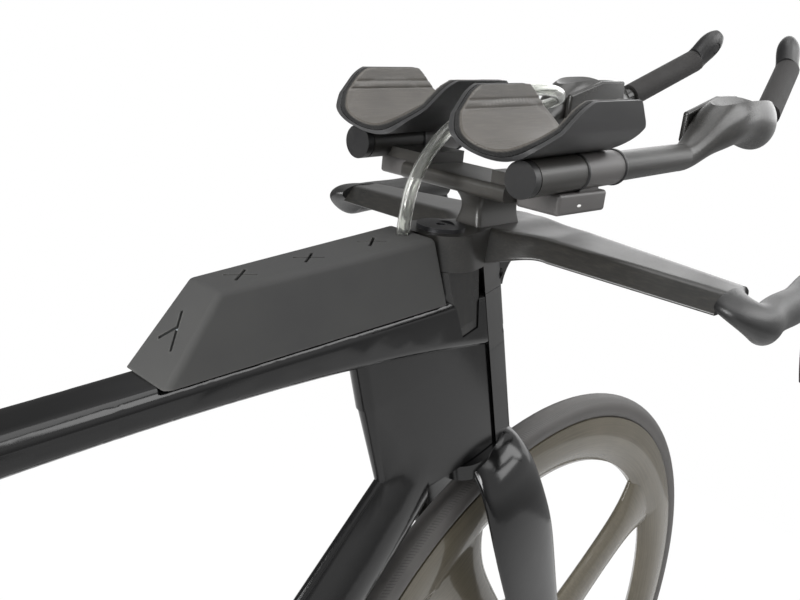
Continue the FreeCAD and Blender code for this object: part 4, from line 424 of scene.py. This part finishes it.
def saddle_cover():
    material = base_finish("saddle_cover_black", shade(34, 34, 34), shade(44, 43, 43), (0.5, 0.64),
                           (1300.0, 0.45, 0.0004), drift=26.0)
    tree = material.node_tree
    pores = put(tree, "TexVoronoi", {"Vector": put(tree, "TexCoord").outputs["Object"], "Scale": 420.0},
                feature="DISTANCE_TO_EDGE").outputs[0]
    emboss(material, between(tree, pores, 0.0, 0.25), 0.25, 0.0004)
    shader_of(material).inputs["Sheen Weight"].default_value = 0.12
    return material


def bladder_film():
    return base_finish("bladder_film", shade(120, 128, 132), shade(150, 156, 158), (0.25, 0.4),
                       (60.0, 0.5, 0.002), drift=20.0)


FINISH = {
    "carbon_gloss": gloss_black(),
    "carbon_satin": satin_carbon("bar_satin_carbon", shade(27, 27, 26), shade(35, 34, 32), (0.27, 0.35),
                                 (8.0, 0.6, 8.0)),
    "tube_satin": satin_carbon("tube_satin_carbon", shade(24, 24, 23), shade(31, 30, 28), (0.25, 0.32),
                               (0.6, 8.0, 8.0)),
    # A lighter copy of the satin carbon for the riser and bridge: painted light standing in for their
    # highlights.
    "lit_bridge_satin": satin_carbon("bridge_satin_carbon", shade(40, 39, 37), shade(49, 48, 46), (0.28, 0.36),
                                 (8.0, 0.6, 8.0)),
    "spacer_satin": satin_carbon("spacer_satin_carbon", shade(20, 20, 20), shade(26, 26, 25), (0.22, 0.3),
                                 (8.0, 8.0, 0.6)),
    "soft_box": box_rubber(),
    "cup": cup_plastic(),
    "arm_foam": pad_foam(),
    "hood_rubber": hood_rubber(),
    "grip_tape": grip_tape(),
    "clear_hose": clear_hose(),
    "black_metal": black_metal(),
    "steel": turned_steel(),
    "chain": chain_steel(),
    "alloy": brushed_alloy(),
    "black_plastic": moulded_plastic(),
    "grey_plastic": grey_plastic(),
    "lamp_white": base_finish("lamp_white", shade(232, 232, 230), shade(242, 242, 240), (0.2, 0.3),
                              (900.0, 0.1, 0.0002)),
    "rim_carbon": rim_carbon(),
    "tyre": tyre_rubber(),
    "saddle_cover": saddle_cover(),
    "bladder": bladder_film(),
}


# Pieces that follow their CAD nodes: node, finish and the angle that still counts as smooth

SMOOTH_NODES = [
    ("frame_front_triangle", "carbon_gloss", 32.0),
    ("frame_rear_triangle", "carbon_gloss", 32.0),
    ("fork", "carbon_gloss", 32.0),
    ("box_cover", "soft_box", 30.0),
    ("box_base", "black_plastic", 30.0),
    ("drink_bladder", "bladder", 30.0),
    ("box_bolts", "steel", 30.0),
    ("headset_bearings", "steel", 30.0),
    ("bottom_bracket_bearings", "steel", 30.0),
    ("seatpost_wedge", "black_metal", 30.0),
    ("rear_caliper", "black_metal", 30.0),
    ("derailleur_body", "black_metal", 30.0),
    ("derailleur_cage", "black_metal", 30.0),
    ("rear_axle", "black_metal", 30.0),
    ("seatpost", "carbon_gloss", 32.0),
    ("saddle_clamp", "black_metal", 30.0),
    ("saddle_rails", "alloy", 40.0),
    ("saddle_shell", "black_plastic", 30.0),
    ("stack_spacers", "spacer_satin", 30.0),
    ("base_bar", "carbon_satin", 32.0),
    ("top_cap", "black_metal", 30.0),
    ("aero_riser", "lit_bridge_satin", 30.0),
    ("arm_rest_bridge", "lit_bridge_satin", 30.0),
    ("extensions", "tube_satin", 34.0),
    ("extension_end_caps", "black_plastic", 30.0),
    ("control_boxes", "grey_plastic", 30.0),
    ("arm_cups", "cup", 30.0),
    ("extension_grips", "grip_tape", 30.0),
    ("shifter_pods", "black_plastic", 32.0),
    ("hoods", "hood_rubber", 32.0),
    ("front_caliper", "black_metal", 30.0),
    ("front_axle", "black_metal", 30.0),
    ("cockpit_bolts", "black_metal", 30.0),
    ("hose_clip", "black_plastic", 30.0),
    ("bite_valve", "grip_tape", 30.0),
    ("brake_lever_right", "black_metal", 34.0),
    ("brake_lever_left", "black_metal", 34.0),
    ("shift_button_right", "black_plastic", 30.0),
    ("shift_button_left", "black_plastic", 30.0),
    ("front_wheel", "rim_carbon", 32.0),
    ("front_tyre", "tyre", 40.0),
    ("front_hub", "black_metal", 30.0),
    ("front_rotor", "steel", 30.0),
    ("rear_wheel", "rim_carbon", 30.0),
    ("rear_tyre", "tyre", 40.0),
    ("rear_hub", "black_metal", 30.0),
    ("rear_rotor", "steel", 30.0),
    ("cassette", "steel", 30.0),
    ("crank_right", "tube_satin", 34.0),
    ("crank_left", "tube_satin", 34.0),
    ("chainring", "black_metal", 30.0),
    ("pedal_axles", "steel", 30.0),
    ("pedal_right", "black_plastic", 30.0),
    ("pedal_left", "black_plastic", 30.0),
    ("pulley_upper", "black_plastic", 30.0),
    ("pulley_lower", "black_plastic", 30.0),
]
BODY_OF = {node: body for body, members in frame["record"]["behaviour"]["bodies"].items() for node in members}
JOIN_DISTANCE = 5e-6


def joined(node):
    """A bmesh copy of a CAD node with its loose triangles joined."""
    shape = bmesh.new()
    shape.from_mesh(nodes[node].data)
    bmesh.ops.remove_doubles(shape, verts=shape.verts, dist=JOIN_DISTANCE)
    return shape


def finished(shape, name, finish, crease=30.0):
    """Makes an object of a bmesh, smooth up to the crease angle, in its finish."""
    limit = math.radians(crease)
    for face in shape.faces:
        face.smooth = True
    for edge in shape.edges:
        edge.smooth = len(edge.link_faces) == 2 and edge.calc_face_angle(0.0) < limit
    mesh = bpy.data.meshes.new(name)
    shape.to_mesh(mesh)
    shape.free()
    if "custom_normal" in mesh.attributes:
        mesh.attributes.remove(mesh.attributes["custom_normal"])
    mesh.materials.clear()
    mesh.materials.append(FINISH[finish])
    piece = bpy.data.objects.new(name, mesh)
    scene.collection.objects.link(piece)
    return piece


def dress(node, finish, crease):
    piece = finished(joined(node), node + "_skin", finish, crease)
    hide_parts(node)
    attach(piece, BODY_OF[node])
    return piece


pieces = {node: dress(node, finish, crease) for node, finish, crease in SMOOTH_NODES}


# Drink hose: a clear tube on one smooth line

HOSE_ROUTE = [(-0.040, 0.0, -0.009), (-0.040, 0.0, 0.020), (-0.030, 0.0, 0.047), (-0.008, 0.0, 0.070),
              (0.026, 0.0, 0.088), (0.063, 0.0, 0.098), (0.100, 0.001, 0.102), (0.136, 0.007, 0.099),
              (0.163, 0.021, 0.093), (0.181, 0.042, 0.086), (0.190, 0.062, 0.0805), (0.192, 0.078, 0.0783)]
HOSE_RADIUS = 0.0048
HOSE_BORE = 0.0034
HOSE_END_REACH = 0.007


def hose_line():
    curve = bpy.data.curves.new("hose_line", "CURVE")
    curve.dimensions = "3D"
    curve.bevel_resolution = 8
    spline = curve.splines.new("NURBS")
    spline.points.add(len(HOSE_ROUTE) - 1)
    for point, place in zip(spline.points, HOSE_ROUTE):
        point.co = (*(BAR_POINT + Vector(place)), 1.0)
    spline.order_u = 3
    spline.use_endpoint_u = True
    spline.resolution_u = 10
    return bpy.data.objects.new("hose_line", curve)


def wall_of(line, radius):
    line.data.bevel_depth = radius
    scene.collection.objects.link(line)
    bpy.context.view_layer.update()
    mesh = bpy.data.meshes.new_from_object(line.evaluated_get(bpy.context.evaluated_depsgraph_get()))
    scene.collection.objects.unlink(line)
    return mesh


def make_hose():
    line = hose_line()
    path = [tuple(vertex.co) for vertex in wall_of(line, 0.0).vertices]
    shape = bmesh.new()
    shape.from_mesh(wall_of(line, HOSE_BORE))
    bmesh.ops.reverse_faces(shape, faces=shape.faces)
    shape.from_mesh(wall_of(line, HOSE_RADIUS))
    bmesh.ops.remove_doubles(shape, verts=shape.verts, dist=1e-6)
    open_edges = [edge for edge in shape.edges if edge.is_boundary]
    for end in (path[0], path[-1]):
        ring = [edge for edge in open_edges if (edge.verts[0].co - Vector(end)).length < HOSE_END_REACH]
        bmesh.ops.bridge_loops(shape, edges=ring)
    hose = finished(shape, "drink_hose_tube", "clear_hose", 60.0)
    bpy.data.objects.remove(line)
    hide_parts("drink_hose")
    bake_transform(hose)


make_hose()


# Padded pieces: foam swollen by pressure inside its skin

FOAM_PRESSURE = 4.0
SWELL_STEPS = 20


def remeshed(shape, voxel):
    """A closed, even mesh of a bmesh."""
    mesh = bpy.data.meshes.new("foam_start")
    shape.to_mesh(mesh)
    shape.free()
    start = bpy.data.objects.new("foam_start", mesh)
    scene.collection.objects.link(start)
    even = start.modifiers.new("even", "REMESH")
    even.mode = "VOXEL"
    even.voxel_size = voxel
    bpy.context.view_layer.update()
    result = bpy.data.meshes.new_from_object(start.evaluated_get(bpy.context.evaluated_depsgraph_get()))
    bpy.data.objects.remove(start)
    return result


def swollen(mesh, cap):
    """Where each point of the mesh goes when the skin is blown up, moved by no more than the cap."""
    soft = bpy.data.objects.new("foam_soft", mesh)
    scene.collection.objects.link(soft)
    cloth = soft.modifiers.new("fill", "CLOTH")
    cloth.settings.use_pressure = True
    cloth.settings.uniform_pressure_force = FOAM_PRESSURE
    cloth.settings.effector_weights.gravity = 0.0
    cloth.collision_settings.use_collision = False
    cloth.point_cache.frame_start = 1
    cloth.point_cache.frame_end = SWELL_STEPS
    for step in range(1, SWELL_STEPS + 1):
        scene.frame_set(step)
    result = soft.evaluated_get(bpy.context.evaluated_depsgraph_get()).to_mesh()
    moves = []
    for before, after in zip(mesh.vertices, result.vertices):
        move = after.co - before.co
        moves.append(move * min(1.0, cap / max(move.length, 1e-9)))
    scene.frame_set(1)
    bpy.data.objects.remove(soft)
    return moves


# Section of the arm cups in millimetres: a round floor up to the knee, then a straight leaning wall
CUP_MIDDLE = 57.0
CUP_FLOOR = 61.1
CUP_PITCH = 0.0318
FACE_CENTRE = 57.1
FACE_RADIUS = 48.8
PAD_KNEE = 26.6
WALL_START = 38.1
WALL_LEAN = 0.22
WALL_COS = 0.976
WALL_SIN = 0.215
FACE_DEPTH = 0.6
RIM_START = 1.0
RIM_BLEND = 0.9
PAD_LINES = (27.5, 33.0)
PAD_LINE_WIDTH = 0.95
PAD_LINE_DEPTH = 0.45
PAD_VOXEL = 0.0009
PAD_SWELL_VOXEL = 0.004
PAD_SWELL_CAP = 0.0006
SADDLE_VOXEL = 0.004
SADDLE_SWELL_CAP = 0.004


def pad_place(place):
    """Distance from the middle of the cup and height over its floor, in millimetres."""
    local = (place - BAR_POINT) / MM
    return abs(abs(local.y) - CUP_MIDDLE), local.z - CUP_FLOOR - CUP_PITCH * local.x


def pad_depth(place):
    """How deep a point of the arm pad lies under the face that the arm rests on, in millimetres."""
    side, up = pad_place(place)
    if up < PAD_KNEE:
        return math.hypot(side, FACE_CENTRE - up) - FACE_RADIUS
    return WALL_COS * (side - WALL_START - WALL_LEAN * (up - PAD_KNEE))


def pad_inward(place):
    """The direction into the foam, square to the face that the arm rests on."""
    side, up = pad_place(place)
    local = (place - BAR_POINT) / MM
    way = math.copysign(1.0, abs(local.y) - CUP_MIDDLE) * math.copysign(1.0, local.y)
    if up < PAD_KNEE:
        return Vector((0.0, way * side, up - FACE_CENTRE)).normalized()
    return Vector((0.0, way * WALL_COS, -WALL_SIN))


def pad_swell():
    """Swells a coarse copy of the pads, and gives the function from a point to its move there."""
    coarse = remeshed(joined("arm_pads"), PAD_SWELL_VOXEL)
    moves = swollen(coarse, PAD_SWELL_CAP)
    tree = kdtree.KDTree(len(moves))
    for vertex in coarse.vertices:
        tree.insert(vertex.co, vertex.index)
    tree.balance()

    def move_at(place):
        near = [(moves[index], 1.0 / (distance + 1e-4)) for _, index, distance in tree.find_n(place, 6)]
        return sum((move * weight for move, weight in near), Vector()) / sum(weight for _, weight in near)

    return move_at


def make_arm_pads():
    """The face is set on its true line, swollen, with two shallow lines pressed along each wall."""
    move_at = pad_swell()
    mesh = remeshed(joined("arm_pads"), PAD_VOXEL)
    rim = mesh.attributes.new("rim", "FLOAT", "POINT")
    rims = []
    for vertex in mesh.vertices:
        depth = pad_depth(vertex.co)
        rims.append(min(1.0, max(0.0, (depth - RIM_START) / RIM_BLEND)))
        if depth > FACE_DEPTH:
            continue
        inward = pad_inward(vertex.co)
        vertex.co += inward * (min(0.0, move_at(vertex.co).dot(inward)) - depth * MM)
        up = pad_place(vertex.co)[1]
        press = sum(math.exp(-((up - line) / PAD_LINE_WIDTH) ** 2) for line in PAD_LINES)
        vertex.co += inward * PAD_LINE_DEPTH * press * MM
    rim.data.foreach_set("value", rims)
    shape = bmesh.new()
    shape.from_mesh(mesh)
    pads = finished(shape, "arm_pads_foam", "arm_foam", 80.0)
    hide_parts("arm_pads")
    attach(pads, "steering")


def make_saddle_pad():
    mesh = remeshed(joined("saddle_pad"), SADDLE_VOXEL)
    for vertex, move in zip(mesh.vertices, swollen(mesh, SADDLE_SWELL_CAP)):
        if vertex.normal.z > -0.3:
            vertex.co += move
    shape = bmesh.new()
    shape.from_mesh(mesh)
    upper = [vertex for vertex in shape.verts if vertex.normal.z > -0.5]
    bmesh.ops.smooth_vert(shape, verts=upper, factor=0.5, use_axis_x=True, use_axis_y=True, use_axis_z=True)
    pad = finished(shape, "saddle_pad_cover", "saddle_cover", 80.0)
    fine = pad.modifiers.new("fine", "SUBSURF")
    fine.levels = 1
    fine.render_levels = 1
    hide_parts("saddle_pad")
    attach(pad, "seatpost")


make_arm_pads()
make_saddle_pad()


# Small trim: rubber rings on the extension clamps and the lamp of the right control box

TUBE_SLOPE = 0.03178
TUBE_SPREAD = 77.0
TUBE_HEIGHT = 51.7
TUBE_WAY = Vector((1.0, 0.0, TUBE_SLOPE)).normalized()
RING_PLACES = (44.0, 93.2)
RING_EDGE = 12.6
RING_WIRE = 1.5
RING_SECTION = (1.25, 1.0, 0.62)
LAMP_PLACE = (43.0, -86.0, 31.5)
LAMP_STRETCH = (2.6, 0.5, 1.0)


def on_extension(forward, side):
    return cockpit(forward, TUBE_SPREAD * side, TUBE_HEIGHT + TUBE_SLOPE * forward)


def make_clamp_rings():
    shape = bmesh.new()
    for side in (-1, 1):
        for forward in RING_PLACES:
            middle = on_extension(forward, side)
            edge = middle + Vector((0.0, 0.0, 1.0)) * RING_EDGE * MM
            verts = bmesh.ops.create_circle(shape, segments=10, radius=RING_WIRE * MM)["verts"]
            bmesh.ops.rotate(shape, verts=verts, matrix=Matrix.Rotation(math.pi / 2, 3, "X"))
            bmesh.ops.scale(shape, verts=verts, vec=RING_SECTION)
            bmesh.ops.translate(shape, verts=verts, vec=edge)
            ring = list({link for vert in verts for link in vert.link_edges})
            bmesh.ops.spin(shape, geom=verts + ring, cent=middle, axis=TUBE_WAY, angle=2.0 * math.pi,
                           steps=40, use_merge=True)
    bmesh.ops.recalc_face_normals(shape, faces=shape.faces)
    rings = finished(shape, "clamp_rings", "black_plastic", 60.0)
    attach(rings, "steering")


def make_control_lamp():
    shape = bmesh.new()
    made = bmesh.ops.create_uvsphere(shape, u_segments=16, v_segments=8, radius=1.0 * MM)["verts"]
    bmesh.ops.scale(shape, verts=made, vec=LAMP_STRETCH)
    bmesh.ops.translate(shape, verts=made, vec=cockpit(*LAMP_PLACE))
    lamp = finished(shape, "control_lamp", "lamp_white", 80.0)
    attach(lamp, "steering")


make_clamp_rings()
make_control_lamp()


# Chain: plates and rollers one pitch apart along the line round ring, sprocket and pulleys

CHAIN_PITCH = 0.0127
CHAIN_LINE = -0.044
RING_TEETH = 54
SPROCKET_TEETH = 17
PULLEY_TEETH = 12
UPPER_PULLEY = REAR_AXLE + Vector((0.016, 0.0, -0.078))
LOWER_PULLEY = REAR_AXLE + Vector((0.030, 0.0, -0.142))
PLATE_RADIUS = 0.0039
PLATE_WAIST = 0.72
# Near and far side of the plates, then radius and half width of the rollers or pins
INNER_LINK = (0.0012, 0.0018, 0.0035, 0.0012)
OUTER_LINK = (0.0019, 0.0025, 0.0017, 0.0026)


def pitch_radius(teeth):
    return CHAIN_PITCH / (2.0 * math.sin(math.pi / teeth))


def chain_runs():
    """The chain's line: arcs (length, centre, radius, start, turn) and runs (length, start, direction)."""
    turns = [(BOTTOM_BRACKET, pitch_radius(RING_TEETH)), (REAR_AXLE, pitch_radius(SPROCKET_TEETH)),
             (UPPER_PULLEY, -pitch_radius(PULLEY_TEETH)), (LOWER_PULLEY, pitch_radius(PULLEY_TEETH))]
    ways = []
    for (centre, radius), (other, other_radius) in zip(turns, turns[1:] + turns[:1]):
        gap = other - centre
        ways.append(math.atan2(gap.z, gap.x) + math.asin((radius - other_radius) / gap.length) - math.pi / 2)
    runs = []
    for i, (centre, radius) in enumerate(turns):
        turn = math.copysign(1.0, radius)
        begin = ways[i - 1]
        sweep = ((ways[i] - begin) * turn) % (2.0 * math.pi)
        other, other_radius = turns[(i + 1) % 4]
        normal = Vector((math.cos(ways[i]), 0.0, math.sin(ways[i])))
        leave = centre + normal * radius
        arrive = other + normal * other_radius
        runs.append((sweep * abs(radius), centre, radius, begin, turn))
        runs.append(((arrive - leave).length, leave, (arrive - leave).normalized()))
    return runs


def along_chain(runs, distance):
    for run in runs:
        if distance <= run[0]:
            break
        distance -= run[0]
    if len(run) == 3:
        return run[1] + run[2] * distance
    centre, radius, begin, turn = run[1:]
    angle = begin + turn * distance / abs(radius)
    return centre + Vector((math.cos(angle), 0.0, math.sin(angle))) * radius


def add_plate(shape, low, high):
    """One link plate along X from the first pin to the next, waisted between them."""
    verts = bmesh.ops.create_circle(shape, cap_ends=False, segments=12, radius=PLATE_RADIUS)["verts"]
    waist = [vert for vert in verts if abs(vert.co.x) < 1e-6]
    ahead = [vert for vert in verts if vert.co.x > 1e-6]
    bmesh.ops.translate(shape, verts=ahead, vec=(CHAIN_PITCH, 0.0, 0.0))
    bmesh.ops.translate(shape, verts=waist, vec=(CHAIN_PITCH / 2, 0.0, 0.0))
    bmesh.ops.scale(shape, verts=waist, vec=(1.0, PLATE_WAIST, 1.0))
    bmesh.ops.rotate(shape, verts=verts, matrix=Matrix.Rotation(math.pi / 2, 3, "X"))
    bmesh.ops.translate(shape, verts=verts, vec=(0.0, low, 0.0))
    faces = bmesh.ops.contextual_create(shape, geom=verts)["faces"]
    raised = bmesh.ops.extrude_face_region(shape, geom=faces, use_keep_orig=True)
    top = [item for item in raised["geom"] if isinstance(item, bmesh.types.BMVert)]
    bmesh.ops.translate(shape, verts=top, vec=(0.0, high - low, 0.0))


def add_roller(shape, at, radius, half):
    made = bmesh.ops.create_cone(shape, cap_ends=True, segments=12, radius1=radius, radius2=radius,
                                 depth=2.0 * half)
    bmesh.ops.rotate(shape, verts=made["verts"], matrix=Matrix.Rotation(math.pi / 2, 3, "X"))
    bmesh.ops.translate(shape, verts=made["verts"], vec=(at, 0.0, 0.0))


def link_mesh(sizes):
    shape = bmesh.new()
    near, far, radius, half = sizes
    add_plate(shape, near, far)
    add_plate(shape, -far, -near)
    for at in (0.0, CHAIN_PITCH):
        add_roller(shape, at, radius, half)
    bmesh.ops.recalc_face_normals(shape, faces=shape.faces)
    mesh = bpy.data.meshes.new("link")
    shape.to_mesh(mesh)
    shape.free()
    return mesh


def make_chain():
    runs = chain_runs()
    total = sum(run[0] for run in runs)
    count = 2 * round(total / CHAIN_PITCH / 2)
    pins = [along_chain(runs, total * i / count) for i in range(count)]
    links = [link_mesh(INNER_LINK), link_mesh(OUTER_LINK)]
    shape = bmesh.new()
    for i, pin in enumerate(pins):
        way = pins[(i + 1) % count] - pin
        first = len(shape.verts)
        shape.from_mesh(links[i % 2])
        shape.verts.ensure_lookup_table()
        angle = math.atan2(way.z, way.x)
        place = Matrix.Translation(pin + Vector((0.0, CHAIN_LINE, 0.0))) @ Matrix.Rotation(-angle, 4, "Y")
        stretch = Matrix.Scale(way.length / CHAIN_PITCH, 4, (1.0, 0.0, 0.0))
        bmesh.ops.transform(shape, matrix=place @ stretch, verts=shape.verts[first:])
    chain = finished(shape, "chain_links", "chain", 40.0)
    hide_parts("chain")
    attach(chain, "frame")


make_chain()


# Floor, light and background

FLOOR_HALF = 1.7
FLOOR_HEIGHT = -0.0004
FLOOR_GLOW = 0.97
BRIGHT_WAY = (0.62, -0.62, 0.48)
FILL_LEVEL = 0.35


def camera_side(tree):
    """One for rays that see the background: straight to the camera, mirrored or through glass."""
    path = put(tree, "LightPath").outputs
    first = sum_of(tree, "MAXIMUM", path["Is Camera Ray"], path["Is Glossy Ray"])
    return sum_of(tree, "MAXIMUM", first, path["Is Transmission Ray"])


def make_floor():
    shape = bmesh.new()
    bmesh.ops.create_grid(shape, x_segments=8, y_segments=8, size=FLOOR_HALF)
    bmesh.ops.translate(shape, verts=shape.verts, vec=(0.0, 0.0, FLOOR_HEIGHT))
    mesh = bpy.data.meshes.new("studio_floor")
    shape.to_mesh(mesh)
    shape.free()
    material = bpy.data.materials.new("pale_floor")
    material.use_nodes = True
    tree = material.node_tree
    tree.nodes.clear()
    matt = put(tree, "BsdfDiffuse", {"Color": (0.95, 0.95, 0.95, 1.0)})
    glow = put(tree, "Emission", {"Color": (1.0, 1.0, 1.0, 1.0), "Strength": 1.0})
    share = sum_of(tree, "MULTIPLY", camera_side(tree), FLOOR_GLOW)
    both = put(tree, "MixShader", {0: share, 1: matt.outputs[0], 2: glow.outputs[0]})
    out = put(tree, "OutputMaterial")
    tree.links.new(both.outputs[0], out.inputs["Surface"])
    mesh.materials.append(material)
    floor = bpy.data.objects.new("studio_floor", mesh)
    scene.collection.objects.link(floor)


def make_world():
    """White to the camera and through glass; in mirrors bright to one side; a plain fill for the rest."""
    world = bpy.data.worlds.new("studio")
    scene.world = world
    world.use_nodes = True
    tree = world.node_tree
    tree.nodes.clear()
    path = put(tree, "LightPath").outputs
    way = put(tree, "TexCoord").outputs["Generated"]
    toward = put(tree, "VectorMath", {0: way, 1: BRIGHT_WAY}, operation="DOT_PRODUCT").outputs["Value"]
    height = put(tree, "SeparateXYZ", {0: way}).outputs[2]
    above = between(tree, height, -0.25, 0.05, 0.45, 1.0)
    room = sum_of(tree, "MULTIPLY", between(tree, toward, -0.1, 0.5, 0.22, 1.0), above)
    mirrored = put(tree, "Mix", {0: path["Is Glossy Ray"], 2: FILL_LEVEL, 3: room}).outputs[0]
    seen = sum_of(tree, "MAXIMUM", path["Is Camera Ray"], path["Is Transmission Ray"])
    level = put(tree, "Mix", {0: seen, 2: mirrored, 3: 1.0}).outputs[0]
    white = put(tree, "Background", {"Color": (1.0, 1.0, 1.0, 1.0), "Strength": level})
    out = put(tree, "OutputWorld")
    tree.links.new(white.outputs[0], out.inputs["Surface"])


def soft_lamp(name, place, target, size, power):
    data = bpy.data.lights.new(name, "AREA")
    data.shape = "RECTANGLE"
    data.size, data.size_y = size
    data.energy = power
    lamp = bpy.data.objects.new(name, data)
    lamp.location = place
    lamp.rotation_euler = (Vector(target) - Vector(place)).to_track_quat("-Z", "Y").to_euler()
    scene.collection.objects.link(lamp)


make_floor()
make_world()
soft_lamp("key_behind", (-2.4, 0.1, 1.7), (0.1, 0.0, 0.85), (1.6, 1.6), 145.0)
soft_lamp("over_top", (0.5, -0.2, 2.9), (0.3, 0.0, 0.8), (2.2, 1.2), 16.0)
soft_lamp("right_panel", (1.2, -1.3, 2.1), (0.4, 0.0, 0.75), (1.6, 1.2), 28.0)
soft_lamp("front_panel", (3.0, 0.2, 1.5), (0.3, 0.0, 0.85), (3.2, 1.2), 20.0)
scene.view_settings.view_transform = "Standard"
